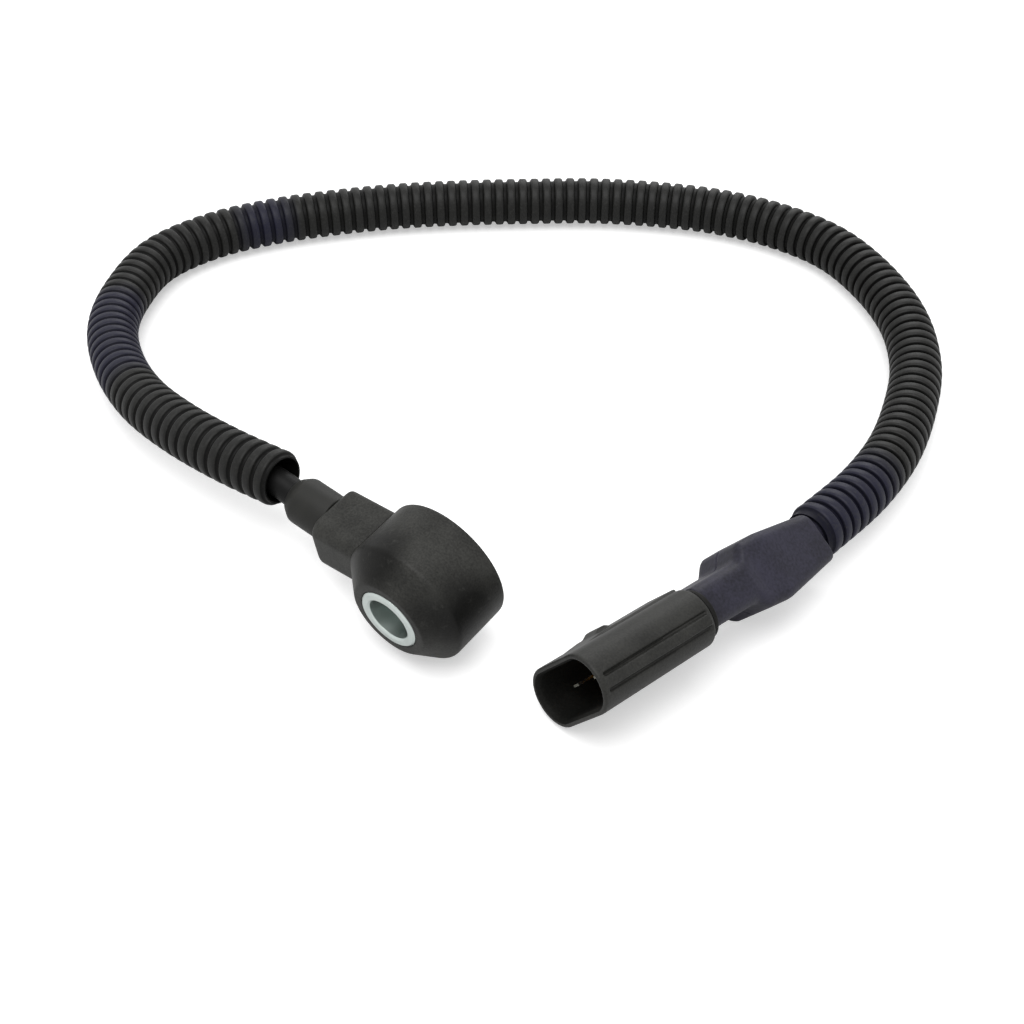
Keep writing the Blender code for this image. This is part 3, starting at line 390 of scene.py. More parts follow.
def finish(name):
    """The finish of that name, made when it is first asked for."""
    made = bpy.data.materials.get(name)
    if made is not None:
        return made
    scene = bpy.context.scene
    head, lead, connector = scene.knock_head, scene.knock_lead, scene.knock_connector
    makers = {
        # The head's plastic, with patches of painted shade on the cone and by the boss
        "head_polyamide": lambda: moulded_polyamide(
            name, tuple(head.polyamide), 0.42, shine=0.1, shaded_spots=on_frame(HEAD, *PAINTED_SHADE_SPOTS)),
        "shell_polyamide": lambda: moulded_polyamide(name, tuple(connector.polyamide), 0.48),
        # Painted shade inside the socket: the shell's plastic darker and duller
        "socket_painted_shade_polyamide": lambda: moulded_polyamide(
            name, scaled(connector.polyamide, 0.6), 0.7, shine=0.08),
        "cap_polyamide": lambda: moulded_polyamide(
            name, scaled(connector.polyamide, 0.4), 0.6, shine=0.12),
        "backshell_polyamide": lambda: moulded_polyamide(
            name, tuple(connector.backshell), 0.5, 0.5),
        "corrugated_polyamide": lambda: extruded_conduit(
            name, tuple(lead.polyamide), tuple(lead.tint), 0.14),
        # The valleys are darker and less shiny: painted shade in the corrugations
        "valley_painted_shade_polyamide": lambda: extruded_conduit(
            name, scaled(lead.polyamide, 0.42), scaled(lead.tint, 0.5), 0.07),
        "cable_jacket_pvc": lambda: soft_polymer(name, tuple(lead.jacket), 0.45, 3.0, shine=0.12),
        "collar_rubber": lambda: soft_polymer(name, linear_rgb("222220"), 0.5, 2.0, shine=0.2),
        "wire_pvc": lambda: soft_polymer(name, linear_rgb("3b3d42"), 0.38, 1.5),
        "silicone_rubber": lambda: soft_polymer(name, linear_rgb("9c3a22"), 0.5, 1.2, ior=1.41),
        "polyimide_film": lambda: soft_polymer(name, linear_rgb("c98a2c"), 0.3, 4.0, ior=1.7),
        "zinc_plated_steel": lambda: turned_metal(name, tuple(head.zinc), 0.3, 0.12),
        "spring_steel": lambda: turned_metal(name, linear_rgb("8f9296"), 0.35, 0.2),
        "tinned_brass": lambda: stamped_brass(name),
        "piezo_ceramic": lambda: fired_ceramic(name),
    }
    return makers[name]()


# Mesh tools

def object_from(name, mesh, place, *material_names):
    """An object of a mesh made in its own frame, laid in its place with its finishes."""
    mesh.transform(place)
    made = bpy.data.objects.new(name, mesh)
    for material_name in material_names:
        mesh.materials.append(finish(material_name))
    bpy.context.scene.collection.objects.link(made)
    return made


def stands_for(piece, node):
    """The piece rides on the body and takes the place of a node, which is hidden."""
    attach(piece, BODY)
    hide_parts(node)


def rounded_profile(corners, steps=5):
    """A closed profile whose corners, each (radius, height, rounding), become arcs."""
    points = []
    count = len(corners)
    for index, (across, up, rounding) in enumerate(corners):
        here = Vector((across, up))
        before = Vector(corners[index - 1][:2]) - here
        after = Vector(corners[(index + 1) % count][:2]) - here
        if rounding <= 0.0:
            points.append(tuple(here))
            continue
        half = before.angle(after) / 2.0
        reach = min(rounding / math.tan(half), 0.49 * before.length, 0.49 * after.length)
        first = here + before.normalized() * reach
        last = here + after.normalized() * reach
        for step in range(steps + 1):
            share = step / steps
            points.append(tuple((1 - share) ** 2 * first + 2 * share * (1 - share) * here
                                + share ** 2 * last))
    return points


def turned(profile, steps):
    """A closed profile of (radius, height) pairs turned about local Z."""
    bm = bmesh.new()
    rings = []
    for step in range(steps):
        angle = 2.0 * math.pi * step / steps
        rings.append([bm.verts.new((across * math.cos(angle), across * math.sin(angle), up))
                      for across, up in profile])
    count = len(profile)
    for step in range(steps):
        here, after = rings[step], rings[(step + 1) % steps]
        for index in range(count):
            following = (index + 1) % count
            bm.faces.new((here[index], here[following], after[following], after[index]))
    bmesh.ops.recalc_face_normals(bm, faces=bm.faces)
    return bm


def loft(sections):
    """Skin a row of closed sections and cap both ends."""
    bm = bmesh.new()
    rings = [[bm.verts.new(point) for point in section] for section in sections]
    for before, after in zip(rings, rings[1:]):
        count = len(before)
        for index in range(count):
            following = (index + 1) % count
            bm.faces.new((before[index], before[following], after[following], after[index]))
    bm.faces.new(list(reversed(rings[0])))
    bm.faces.new(rings[-1])
    bmesh.ops.recalc_face_normals(bm, faces=bm.faces)
    return bm


def rod(radius, low, high, place, steps=96):
    """A round bar about the Z axis of a place, for joining and cutting."""
    outline = [(radius * math.cos(2.0 * math.pi * step / steps),
                radius * math.sin(2.0 * math.pi * step / steps)) for step in range(steps)]
    bm = loft([[(across, along, up) for across, along in outline] for up in (low, high)])
    bmesh.ops.transform(bm, matrix=place, verts=bm.verts)
    return bm


def block(low, high):
    """A box between two corners, for joining and cutting."""
    outline = [(low[1], low[2]), (high[1], low[2]), (high[1], high[2]), (low[1], high[2])]
    return loft([[(along, across, up) for across, up in outline] for along in (low[0], high[0])])


def oval_bar(wide, thick, levels, steps):
    """A bar of oval sections, each (place along, inset), from half its width and thickness."""
    sections = []
    for along, inset in levels:
        radius = thick - inset
        sections.append([(along, side * (wide - thick + radius * math.cos(angle)),
                          side * radius * math.sin(angle))
                         for side in (1.0, -1.0)
                         for angle in (math.pi * (step / steps - 0.5)
                                       for step in range(steps + 1))])
    return loft(sections)


def along_plug(across):
    """A place whose Z runs along the connector's X."""
    return Matrix.Translation((0.0, across, 0.0)) @ turn(90.0, "Y")


def rounded_outline(half_wide, above, below, corner_above, corner_below, steps=10):
    """Places across and above the middle, round an outline with rounded corners."""
    points = []
    for wide_side, thick, corner, start in ((1, above, corner_above, 0),
                                            (-1, above, corner_above, 90),
                                            (-1, -below, corner_below, 180),
                                            (1, -below, corner_below, 270)):
        across = wide_side * (half_wide - corner)
        middle = thick - math.copysign(corner, thick)
        for step in range(steps + 1):
            angle = math.radians(start + 90.0 * step / steps)
            points.append((across + corner * math.cos(angle),
                           middle + corner * math.sin(angle)))
    return points


def smooth_mesh(name, bm, angle=32.0):
    """A mesh of a form that keeps its edges sharper than the angle."""
    mesh = bpy.data.meshes.new(name)
    bm.to_mesh(mesh)
    bm.free()
    mesh.shade_smooth()
    mesh.set_sharp_from_angle(angle=math.radians(angle))
    return mesh


def moulded(name, base, tools, voxel, relax):
    """Join and cut closed forms, then skin them again so that every edge gets a mould's radius."""
    scene = bpy.context.scene
    made = []
    for index, bm in enumerate([base] + [tool for operation, tool in tools]):
        mesh = bpy.data.meshes.new(f"{name}_{index}")
        bm.to_mesh(mesh)
        bm.free()
        made.append(bpy.data.objects.new(mesh.name, mesh))
        scene.collection.objects.link(made[-1])
    for (operation, bm), tool in zip(tools, made[1:]):
        step = made[0].modifiers.new(operation, "BOOLEAN")
        step.operation = operation
        step.solver = "EXACT"
        step.object = tool
    skin = made[0].modifiers.new("skin", "REMESH")
    skin.mode = "VOXEL"
    skin.voxel_size = voxel
    skin.use_smooth_shade = True
    soft = made[0].modifiers.new("soft", "SMOOTH")
    soft.factor = 0.5
    soft.iterations = relax
    bpy.context.view_layer.update()
    graph = bpy.context.evaluated_depsgraph_get()
    mesh = bpy.data.meshes.new_from_object(made[0].evaluated_get(graph))
    mesh.name = name
    for spare in made:
        bpy.data.objects.remove(spare, do_unlink=True)
    if len(mesh.polygons) < 100:
        raise RuntimeError(f"{name} came out empty")
    return mesh


def smooth_route(points, step):
    """Points a fixed step apart along a smooth curve through the given ones."""
    knots = np.array(points, dtype=float)
    padded = np.vstack([2 * knots[0] - knots[1], knots, 2 * knots[-1] - knots[-2]])
    fine = []
    for index in range(1, len(padded) - 2):
        p0, p1, p2, p3 = padded[index - 1:index + 3]
        for t in np.linspace(0.0, 1.0, 24, endpoint=False):
            fine.append(0.5 * (2 * p1 + (p2 - p0) * t + (2 * p0 - 5 * p1 + 4 * p2 - p3) * t ** 2
                               + (3 * p1 - p0 - 3 * p2 + p3) * t ** 3))
    fine.append(knots[-1])
    fine = np.array(fine)
    along = np.concatenate([[0.0], np.cumsum(np.linalg.norm(np.diff(fine, axis=0), axis=1))])
    count = max(2, int(round(along[-1] / step)) + 1)
    wanted = np.linspace(0.0, along[-1], count)
    return np.stack([np.interp(wanted, along, fine[:, axis]) for axis in range(3)], axis=1)


def on_frame(place, *spots):
    """Points of a frame, in the row's frame."""
    return [tuple(place @ (Vector(spot) * MM)) for spot in spots]


def cable_points():
    leaving = on_frame(CABLE_EXIT, (0.0, 0.0, -3.4), (0.0, 0.0, 1.1), (0.0, 0.0, 10.0))
    rest = on_frame(Matrix(), *CABLE_LEAD_IN, *CONDUIT_ROUTE[1:])
    return smooth_route(leaving + rest + on_frame(SEAT, (0, 0, 0), (6.0, 0, 0)), 2.0 * MM)


def conduit_points():
    route = on_frame(Matrix(), *CONDUIT_ROUTE)
    return smooth_route(route + on_frame(SEAT, (-1.5, 0.0, 0.0)), 0.4 * MM)


def ribbed_tube(points, sizes, sides=44):
    """A corrugated tube along a row of points, which starts and ends in a valley.

    Faces below the crests have the second finish, which is painted shade in the valleys.
    """
    along = np.concatenate([[0.0], np.cumsum(np.linalg.norm(np.diff(points, axis=0), axis=1))])
    total = along[-1]
    ribbed = total - sizes.plain_end
    count = int(round(ribbed / sizes.pitch - 0.4))
    pitch = ribbed / (count + 0.4)
    high, low = sizes.crest_radius, sizes.valley_radius
    rise = high - low
    rim = low - 0.3 * MM
    # One rib, as shares of its pitch and of its rise
    wave = [(0.0, 0.0), (0.20, 0.0), (0.27, 0.2), (0.32, 0.65), (0.38, 0.92), (0.46, 1.0),
            (0.78, 1.0), (0.88, 0.92), (0.95, 0.65), (1.0, 0.2)]
    outer = [(pitch * (index + share - 0.02), low + rise * level)
             for index in range(count) for share, level in wave]
    outer[0] = (0.0, low)
    outer += [(ribbed - 0.3 * pitch, low), (total, low)]
    inner = [(mark, sizes.bore_radius) for mark in np.linspace(total, 0.0, count)]
    inner[0] = (total, rim)
    inner[-1] = (0.0, rim)

    tangents = np.gradient(points, along, axis=0)
    tangents /= np.linalg.norm(tangents, axis=1)[:, None]
    first = np.cross(tangents[0], (0.0, 0.0, 1.0))
    sideways = [first / np.linalg.norm(first)]
    for tangent in tangents[1:]:
        carried = sideways[-1] - tangent * np.dot(sideways[-1], tangent)
        sideways.append(carried / np.linalg.norm(carried))
    sideways = np.array(sideways)
    angles = np.linspace(0.0, 2.0 * math.pi, sides, endpoint=False)

    bm = bmesh.new()
    rings = []
    spots = outer + inner
    for mark, radius in spots:
        centre, tangent, across = (
            np.array([np.interp(mark, along, table[:, axis]) for axis in range(3)])
            for table in (points, tangents, sideways))
        tangent /= np.linalg.norm(tangent)
        across -= tangent * np.dot(across, tangent)
        across /= np.linalg.norm(across)
        upward = np.cross(tangent, across)
        rings.append([bm.verts.new(centre + radius * (math.cos(angle) * across
                                                      + math.sin(angle) * upward))
                      for angle in angles])
    for ring, (here, after) in enumerate(zip(rings, rings[1:] + rings[:1])):
        middle = (spots[ring][1] + spots[(ring + 1) % len(spots)][1]) / 2.0
        for index in range(sides):
            following = (index + 1) % sides
            face = bm.faces.new((here[index], here[following], after[following], after[index]))
            # Valley faces take the darker finish of painted shade
            face.material_index = int(middle < high - 0.3 * rise)
    bmesh.ops.recalc_face_normals(bm, faces=bm.faces)
    return bm


# Operators, one for each piece or group of like pieces

class KNOCK_OT_stage(bpy.types.Operator):
    """Put up the floor, the lamps, the world and the camera"""

    bl_idname = "knock.stage"
    bl_label = "Stage"

    def execute(self, context):
        sizes = context.scene.knock_stage
        scene = context.scene
        scene.view_settings.view_transform = "Standard"

        world = bpy.data.worlds.new("studio")
        world.use_nodes = True
        tree = world.node_tree
        tree.nodes.clear()
        path = add_node(tree, "ShaderNodeLightPath")
        seen = largest(tree, path.outputs["Is Camera Ray"], path.outputs["Is Glossy Ray"],
                       path.outputs["Is Transmission Ray"])
        light = add_node(tree, "ShaderNodeBackground", {"Color": (1.0, 1.0, 1.0, 1.0)},
                         {"Strength": remap(tree, seen, 0.55, 1.0)})
        output = add_node(tree, "ShaderNodeOutputWorld")
        tree.links.new(light.outputs[0], output.inputs[0])
        scene.world = world

        bm = bmesh.new()
        bmesh.ops.create_grid(bm, x_segments=1, y_segments=1, size=0.55)
        mesh = bpy.data.meshes.new("floor")
        bm.to_mesh(mesh)
        bm.free()
        floor = bpy.data.objects.new("floor", mesh)
        floor.location.z = -0.1 * MM
        scene.collection.objects.link(floor)
        made, tree, output = new_material("white_floor")
        matte = add_node(tree, "ShaderNodeBsdfDiffuse", {"Color": tuple(sizes.floor_colour)})
        path = add_node(tree, "ShaderNodeLightPath")
        glow = add_node(tree, "ShaderNodeEmission", {"Strength": 0.45})
        both = add_node(tree, "ShaderNodeAddShader", None,
                        {0: matte.outputs[0], 1: glow.outputs[0]})
        shown = add_node(tree, "ShaderNodeMixShader", None,
                         {0: path.outputs["Is Camera Ray"], 1: matte.outputs[0],
                          2: both.outputs[0]})
        tree.links.new(shown.outputs[0], output.inputs[0])
        mesh.materials.append(made)

        for name, spot, size, power in (
                ("key_light", (0.1, -0.18, 0.8), 0.6, 5.0),
                ("fill_light", (-0.6, 0.1, 0.6), 0.9, 0.6),
                ("back_light", (-0.3, 0.6, 0.4), 0.4, 1.2)):
            lamp = bpy.data.lights.new(name, "AREA")
            lamp.shape = "SQUARE"
            lamp.size = size
            lamp.energy = power
            shine = bpy.data.objects.new(name, lamp)
            shine.location = spot
            aim = Vector((0.0, 0.05, 0.0)) - Vector(spot)
            shine.rotation_euler = aim.to_track_quat("-Z", "Y").to_euler()
            scene.collection.objects.link(shine)

        lens = bpy.data.cameras.new("camera")
        lens.sensor_width = 36.0
        lens.lens = sizes.focal_length
        lens.clip_start = 0.01
        camera = bpy.data.objects.new("camera", lens)
        camera.location = sizes.camera_place
        camera.rotation_euler = (math.pi / 2.0 - sizes.camera_pitch, 0.0, sizes.camera_heading)
        scene.collection.objects.link(camera)
        scene.camera = camera
        return {"FINISHED"}


class KNOCK_OT_cable(bpy.types.Operator):
    """Lay the round cable from the boss to the backshell"""

    bl_idname = "knock.cable"
    bl_label = "Cable"

    def execute(self, context):
        curve = bpy.data.curves.new("cable", "CURVE")
        curve.dimensions = "3D"
        curve.bevel_depth = context.scene.knock_lead.cable_radius
        curve.bevel_resolution = 7
        curve.use_fill_caps = True
        points = cable_points()
        spline = curve.splines.new("POLY")
        spline.points.add(len(points) - 1)
        for slot, point in zip(spline.points, points):
            slot.co = (*point, 1.0)
        spline.use_smooth = True
        cable = bpy.data.objects.new("cable", curve)
        curve.materials.append(finish("cable_jacket_pvc"))
        context.scene.collection.objects.link(cable)
        stands_for(cable, "cable_jacket")
        return {"FINISHED"}


class KNOCK_OT_conduit(bpy.types.Operator):
    """Lay the corrugated conduit round the loop"""

    bl_idname = "knock.conduit"
    bl_label = "Conduit"

    def execute(self, context):
        bm = ribbed_tube(conduit_points(), context.scene.knock_lead)
        mesh = smooth_mesh("conduit", bm, 60.0)
        # The second finish is painted shade in the valleys
        conduit = object_from("conduit", mesh, Matrix(), "corrugated_polyamide",
                              "valley_painted_shade_polyamide")
        stands_for(conduit, "corrugated_conduit")
        return {"FINISHED"}


class KNOCK_OT_sleeve(bpy.types.Operator):
    """Turn the steel sleeve with its bolt bore and its contact flange"""

    bl_idname = "knock.sleeve"
    bl_label = "Steel Sleeve"

    def execute(self, context):
        sizes = context.scene.knock_head
        bore, outer, flange = sizes.bore_radius, sizes.sleeve_radius, sizes.flange_radius
        cham = 0.35 * MM
        small = 0.08 * MM
        profile = rounded_profile([
            (outer - cham, sizes.sleeve_height, small), (outer, sizes.sleeve_height - cham, small),
            (outer, 2.0 * MM, 0.15 * MM), (flange, 2.0 * MM, 0.2 * MM),
            (flange, cham, small), (flange - cham, 0.0, small),
            (bore + cham, 0.0, small), (bore, cham, small),
            (bore, sizes.sleeve_height - cham, small), (bore + cham, sizes.sleeve_height, small),
        ], 3)
        sleeve = object_from("sleeve", smooth_mesh("sleeve", turned(profile, 144)), HEAD,
                             "zinc_plated_steel")
        stands_for(sleeve, "steel_sleeve")
        return {"FINISHED"}


class KNOCK_OT_housing(bpy.types.Operator):
    """Mould the black body round the sleeve, with its cone and its cable boss"""

    bl_idname = "knock.housing"
    bl_label = "Sensor Housing"

    def execute(self, context):
        sizes = context.scene.knock_head
        sleeve_room = sizes.sleeve_radius + 0.05 * MM
        flange_room = sizes.flange_radius + GAP
        body, nose, top = sizes.body_radius, sizes.nose_radius, sizes.nose_height
        foot, flange_top = 1.0 * MM, 2.15 * MM
        chamber, chamber_top = 9.8 * MM, 14.3 * MM
        profile = rounded_profile([
            (nose - 0.3 * MM, top, 0.0), (nose, top - 0.25 * MM, 0.3 * MM),
            (body, sizes.shoulder, 1.3 * MM), (body, foot, 0.5 * MM),
            (flange_room, foot, 0.0), (flange_room, flange_top, 0.0),
            (chamber, flange_top, 0.0), (chamber, chamber_top, 0.0),
            (sleeve_room, chamber_top, 0.0), (sleeve_room, top, 0.0),
        ], 8)
        # The boss, from its root in the wall to its rounded end
        middle = 0.3 * MM + sizes.boss_deep / 2.0
        drop = 0.55 * MM
        rim, rim_steps = 1.4 * MM, 8
        levels = [(-9.9 * MM, 0.0)]
        for step in range(rim_steps + 1):
            angle = math.radians(90.0 * step / rim_steps)
            levels.append((rim * (1.0 - math.sin(angle)) - sizes.boss_reach,
                           rim * (1.0 - math.cos(angle))))
        sections = []
        for along, inset in levels:
            half = sizes.boss_deep / 2.0 - inset
            outline = rounded_outline(sizes.boss_tall / 2.0 - inset, half, half, 2.5 * MM,
                                      0.9 * MM)
            sections.append([(along, across - drop, middle + thick) for across, thick in outline])
        exit_place = HEAD.inverted() @ CABLE_EXIT
        # A fine groove runs round the boss where it meets the body
        core = [[(along, -drop + (across + drop) * 0.88, middle + (thick - middle) * 0.89)
                 for along, across, thick in section] for section in sections[:2]]
        low, high, outside = 0.5 * MM, 16.0 * MM, body + 0.6 * MM
        groove = [(outside, low), (outside, high), (body, high), (body, low)]
        tools = [
            ("UNION", loft(sections)),
            ("DIFFERENCE", turned(groove, 96)),
            ("UNION", loft(core)),
            ("DIFFERENCE", block((-19.6 * MM, -4.0 * MM, 1.2 * MM),
                                 (-7.1 * MM, 2.9 * MM, 8.2 * MM))),
            ("DIFFERENCE", rod(3.0 * MM, -4.6 * MM, 0.3 * MM, exit_place)),
            ("DIFFERENCE", rod(3.9 * MM, -3.3 * MM, 2.2 * MM, exit_place)),
        ]
        mesh = moulded("housing", turned(profile, 192), tools, 0.22 * MM, 4)
        housing = object_from("housing", mesh, HEAD, "head_polyamide")
        stands_for(housing, "sensor_housing")
        return {"FINISHED"}


class KNOCK_OT_collar(bpy.types.Operator):
    """Turn the round collar that the cable leaves the boss through"""

    bl_idname = "knock.collar"
    bl_label = "Cable Collar"

    def execute(self, context):
        sizes = context.scene.knock_head
        radius, stem = sizes.collar_radius, 3.6 * MM
        inner = context.scene.knock_lead.cable_radius + 0.1 * MM
        front, back, root = 10.0 * MM, 1.1 * MM, -3.0 * MM
        profile = rounded_profile([
            (radius - 1.2 * MM, front, 1.0 * MM), (radius, 8.2 * MM, 1.8 * MM),
            (radius, back, 0.3 * MM), (stem, back, 0.0),
            (stem, root, 0.0), (inner, root, 0.0), (inner, front, 0.3 * MM),
        ], 6)
        bm = turned(profile, 96)
        # The cable leaves the boss's end at an angle, and the collar's back lies flat on it
        lean = math.tan(math.radians(EXIT_LEAN))
        back_low, back_high = 0.9 * MM, 1.6 * MM
        for vert in bm.verts:
            if back_low < vert.co.z < back_high:
                vert.co.z += vert.co.y * lean - 1.0 * MM
        collar = object_from("collar", smooth_mesh("collar", bm), CABLE_EXIT, "collar_rubber")
        stands_for(collar, "cable_collar")
        return {"FINISHED"}


class KNOCK_OT_shell(bpy.types.Operator):
    """Mould the oval connector shell with its socket, latch ramp and guide ribs"""

    bl_idname = "knock.shell"
    bl_label = "Connector Shell"

    def execute(self, context):
        sizes = context.scene.knock_connector
        wide, thick, end = sizes.shell_wide / 2.0, sizes.shell_thick / 2.0, sizes.shell_length
        wall = sizes.shell_wall

        steps = 28
        flare = 0.2 * MM
        outside = [(0.0, 0.3 * MM - flare), (-0.12 * MM, 0.1 * MM - flare), (-0.35 * MM, -flare),
                   (0.5 * MM - end, 0.0), (0.15 * MM - end, 0.25 * MM), (-end, 0.7 * MM)]
        tools = []
        # The rail and the latch ramp on it, as places behind the mouth and above the flat side
        rail = [(3.0, -0.6), (3.0, 0.0), (8.3, 0.5), (12.0, 0.5), (25.0, 0.45), (25.0, -1.0)]
        high = sizes.latch_height / MM
        ramp = [(8.3, -0.3), (8.3, 0.5), (9.6, high), (10.8, high), (12.0, 0.5), (12.0, -0.3)]
        for outline, half in ((rail, 4.5 * MM), (ramp, 2.5 * MM)):
            tools.append(("UNION", loft([[(-back * MM, across, thick + up * MM)
                                          for back, up in outline]
                                         for across in (-half, half)])))
        # Each guide rib runs beside the middle of its round side, between two shallow grooves
        offset, half, proud, corner = 1.2 * MM, sizes.rib_width / 2.0, 0.16 * MM, 0.15 * MM
        groove_half, groove_deep = 0.32 * MM, 0.45 * MM
        back, front = 0.9 * MM - end, -1.2 * MM
        root, crest = wide - 1.2 * MM, wide + proud
        for side in (1.0, -1.0):
            middle = -side * offset
            outline = [(root, -half), (crest - corner, -half), (crest, corner - half),
                       (crest, half - corner), (crest - corner, half), (root, half)]
            tools.append(("UNION", loft([[(along, side * across, middle + up)
                                          for across, up in outline]
                                         for along in (back, front)])))
            for edge in (-1.0, 1.0):
                line = middle + edge * (half + groove_half)
                skin = wide - thick + math.sqrt(thick ** 2 - line ** 2)
                across = sorted((side * (skin - groove_deep), side * (wide + 1.0 * MM)))
                tools.append(("DIFFERENCE", block((back, across[0], line - groove_half),
                                                  (front, across[1], line + groove_half))))
        funnel = wall - 0.4 * MM
        socket = [(1.0 * MM, funnel), (-0.1 * MM, funnel), (-0.9 * MM, wall),
                  (-sizes.socket_depth, wall)]
        tools.append(("DIFFERENCE", oval_bar(wide, thick, socket, steps)))
        slot = 1.5 * MM
        for centre in PIN_PLACES:
            tools.append(("DIFFERENCE", block((-21.5 * MM, centre - slot, -slot),
                                              (-13.7 * MM, centre + slot, slot))))
            tools.append(("DIFFERENCE", rod(2.6 * MM, -26.0 * MM, -21.3 * MM,
                                            along_plug(centre))))
        mesh = moulded("shell", oval_bar(wide, thick, outside, steps), tools, 0.2 * MM, 4)
        shell = object_from("shell", mesh, PLUG, "shell_polyamide", "socket_painted_shade_polyamide")
        # The faces in the socket, from just inside the mouth to past its floor, take a darker
        # finish: painted shade inside the socket
        floor = -sizes.socket_depth - 0.5 * MM
        to_plug = PLUG.inverted()
        for face in mesh.polygons:
            along, across, up = to_plug @ face.center
            away = math.hypot(max(0.0, abs(across) - (wide - thick)), up)
            if floor < along < -0.1 * MM and away < thick - 0.42 * MM:
                face.material_index = 1
        stands_for(shell, "connector_shell")
        return {"FINISHED"}


class KNOCK_OT_cap(bpy.types.Operator):
    """Make the rounded plate behind the shell"""

    bl_idname = "knock.cap"
    bl_label = "Seal Cap"

    def execute(self, context):
        sizes = context.scene.knock_connector
        inset, edge, deep = 0.8 * MM, 0.15 * MM, 1.0 * MM
        wide, thick = sizes.shell_wide / 2.0 - inset, sizes.shell_thick / 2.0 - inset
        start = -25.3 * MM
        levels = [(start, edge), (start - edge, 0.0), (start - deep + edge, 0.0),
                  (start - deep, edge)]
        tools = [("DIFFERENCE", rod(1.0 * MM, -28.0 * MM, -22.0 * MM, along_plug(centre)))
                 for centre in PIN_PLACES]
        mesh = moulded("cap", oval_bar(wide, thick, levels, 24), tools, 0.15 * MM, 2)
        cap = object_from("cap", mesh, PLUG, "cap_polyamide")
        stands_for(cap, "seal_cap")
        return {"FINISHED"}


class KNOCK_OT_backshell(bpy.types.Operator):
    """Mould the two backshell halves that lead the conduit into the connector"""

    bl_idname = "knock.backshell"
    bl_label = "Backshell"

    def execute(self, context):
        # Each section: half its width, its reach above and below the middle, and its corners
        neck = (7.7, 4.6, 3.4, 2.6)
        full = (7.15, 7.1, 5.8, 2.0)
        rear = (5.5, 5.5, 4.2, 2.2)
        slopes = [(36.9, neck), (37.6, (7.65, 4.9, 3.6, 2.6)), (39.1, (7.3, 6.7, 5.0, 2.2)),
                  (39.8, (7.15, 7.1, 5.4, 2.0)), (43.6, full), (44.6, (7.1, 7.0, 5.8, 2.0))]

        def body(inset, start):
            """The form set in by millimetres, from its start behind the mouth to its rear."""
            sections = []
            for back, (half_wide, above, below, corner) in (
                    (start, neck), *slopes, (BACKSHELL_END - inset, rear)):
                lean = math.tan(math.radians(SEAT_LEAN)) if back > 50.0 else 0.0
                outline = rounded_outline(
                    (half_wide - inset) * MM, (above - inset) * MM, (below - inset) * MM,
                    (corner - inset * 0.8) * MM, (corner - inset * 0.8) * MM)
                sections.append([(-back * MM + lean * (up - SEAT_RISE * MM), across, up)
                                 for across, up in outline])
            return loft(sections)

        wall, parting = 1.4, 0.02 * MM
        beyond = 20.0 * MM
        seat = PLUG.inverted() @ SEAT @ turn(90.0, "Y")
        for name, side in (("upper", 1.0), ("lower", -1.0)):
            low, high = sorted((side * parting, -side * beyond))
            tools = [
                ("DIFFERENCE", body(wall, 26.0)),
                ("UNION", rod(3.7 * MM, -5.0 * MM, 0.7 * MM, seat)),
                ("DIFFERENCE", rod(3.0 * MM, -10.0 * MM, 3.0 * MM, seat)),
                ("DIFFERENCE", block((-80.0 * MM, low, -beyond), (0.0, high, beyond))),
            ]
            mesh = moulded("backshell_" + name, body(0.0, 26.6), tools, 0.2 * MM, 3)
            half = object_from("backshell_half_" + name, mesh, PLUG, "backshell_polyamide")
            stands_for(half, "backshell_" + name)
        return {"FINISHED"}


class KNOCK_OT_inner(bpy.types.Operator):
    """Give the sensing stack, the contacts, the terminals, the seals and the leads their finish"""

    bl_idname = "knock.inner"
    bl_label = "Inner Pieces"

    def execute(self, context):
        finishes = {
            "insulating_tube": "polyimide_film", "lower_insulator": "polyimide_film",
            "upper_insulator": "polyimide_film", "terminal_lock": "polyimide_film",
            "lower_contact": "tinned_brass", "upper_contact": "tinned_brass",
            "terminal_1": "tinned_brass", "terminal_2": "tinned_brass",
            "piezo_ring": "piezo_ceramic", "seismic_mass": "zinc_plated_steel",
            "disc_spring": "spring_steel", "ring_nut": "zinc_plated_steel",
            "wire_seal_1": "silicone_rubber", "wire_seal_2": "silicone_rubber",
            "ground_lead": "wire_pvc", "signal_lead": "wire_pvc",
            "plug_lead_1": "wire_pvc", "plug_lead_2": "wire_pvc",
        }
        for name, material_name in finishes.items():
            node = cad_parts[name]
            node.data.materials.clear()
            node.data.materials.append(finish(material_name))
        return {"FINISHED"}


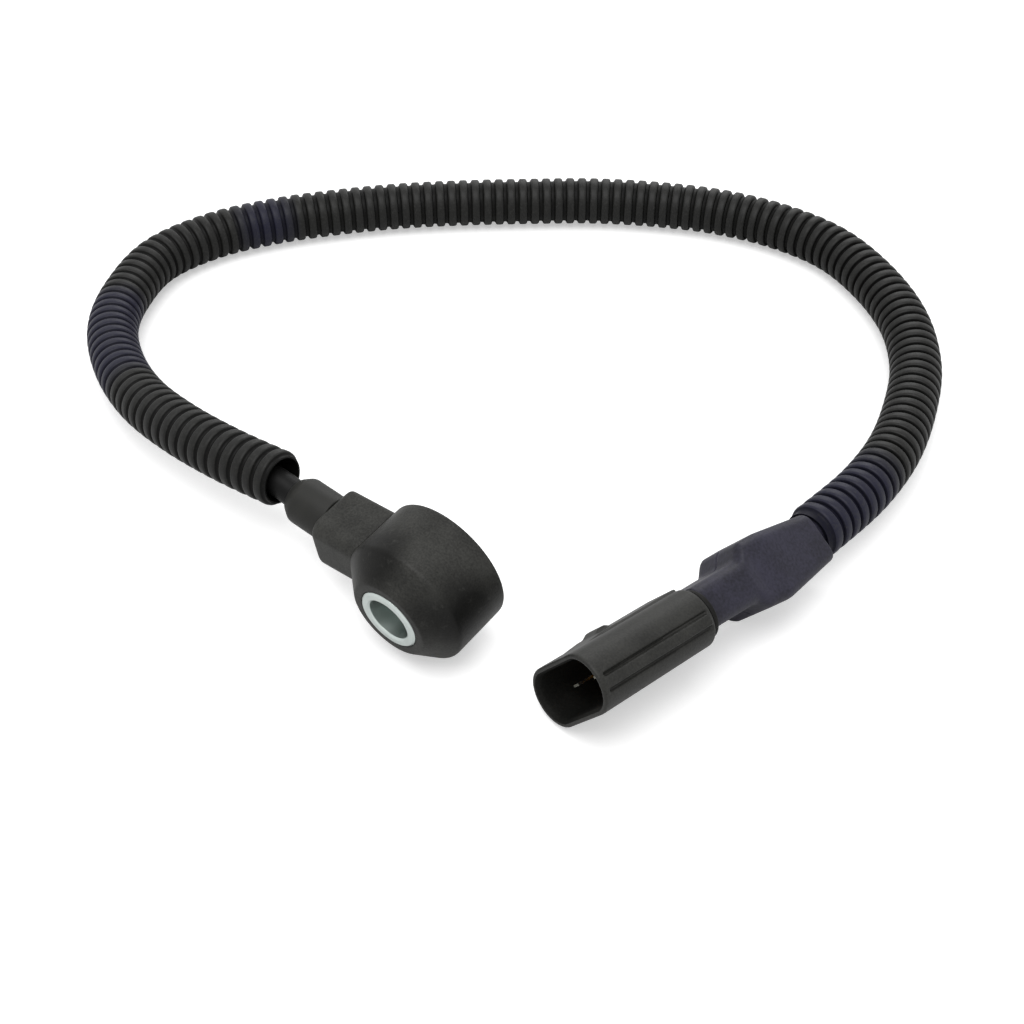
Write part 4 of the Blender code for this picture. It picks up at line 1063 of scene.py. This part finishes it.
class KNOCK_OT_cord_facts(bpy.types.Operator):
    """Work out the centre lines of the cable and the conduit, and keep neither"""

    bl_idname = "knock.cord_facts"
    bl_label = "Cord Facts"

    def execute(self, context):
        line = cable_points()
        line = conduit_points()
        return {"FINISHED"}


class KNOCK_PT_sensor(bpy.types.Panel):
    """The knock sensor's pieces in the sidebar"""

    bl_idname = "KNOCK_PT_sensor"
    bl_label = "Knock Sensor"
    bl_space_type = "VIEW_3D"
    bl_region_type = "UI"
    bl_category = "Knock Sensor"

    def draw(self, context):
        layout = self.layout
        for operator in OPERATORS:
            layout.operator(operator.bl_idname)
        for group in ("knock_stage", "knock_head", "knock_lead", "knock_connector"):
            sizes = getattr(context.scene, group)
            box = layout.box()
            for name in sizes.__annotations__:
                box.prop(sizes, name)


GROUPS = (KNOCK_PG_stage, KNOCK_PG_head, KNOCK_PG_lead, KNOCK_PG_connector)
OPERATORS = (KNOCK_OT_stage, KNOCK_OT_cable, KNOCK_OT_conduit, KNOCK_OT_sleeve, KNOCK_OT_housing,
             KNOCK_OT_collar, KNOCK_OT_shell, KNOCK_OT_cap, KNOCK_OT_backshell, KNOCK_OT_inner,
             KNOCK_OT_cord_facts)
CLASSES = (*GROUPS, *OPERATORS, KNOCK_PT_sensor)


def register():
    for made in CLASSES:
        bpy.utils.register_class(made)
    for made in GROUPS:
        setattr(bpy.types.Scene, made.__name__.replace("KNOCK_PG_", "knock_"),
                bpy.props.PointerProperty(type=made))


def unregister():
    for made in GROUPS:
        delattr(bpy.types.Scene, made.__name__.replace("KNOCK_PG_", "knock_"))
    for made in reversed(CLASSES):
        bpy.utils.unregister_class(made)


def main():
    register()
    bpy.ops.knock.stage()
    bpy.ops.knock.cable()
    bpy.ops.knock.conduit()
    bpy.ops.knock.sleeve()
    bpy.ops.knock.housing()
    bpy.ops.knock.collar()
    bpy.ops.knock.shell()
    bpy.ops.knock.cap()
    bpy.ops.knock.backshell()
    bpy.ops.knock.inner()
    bpy.ops.knock.cord_facts()


if __name__ == "__main__":
    main()
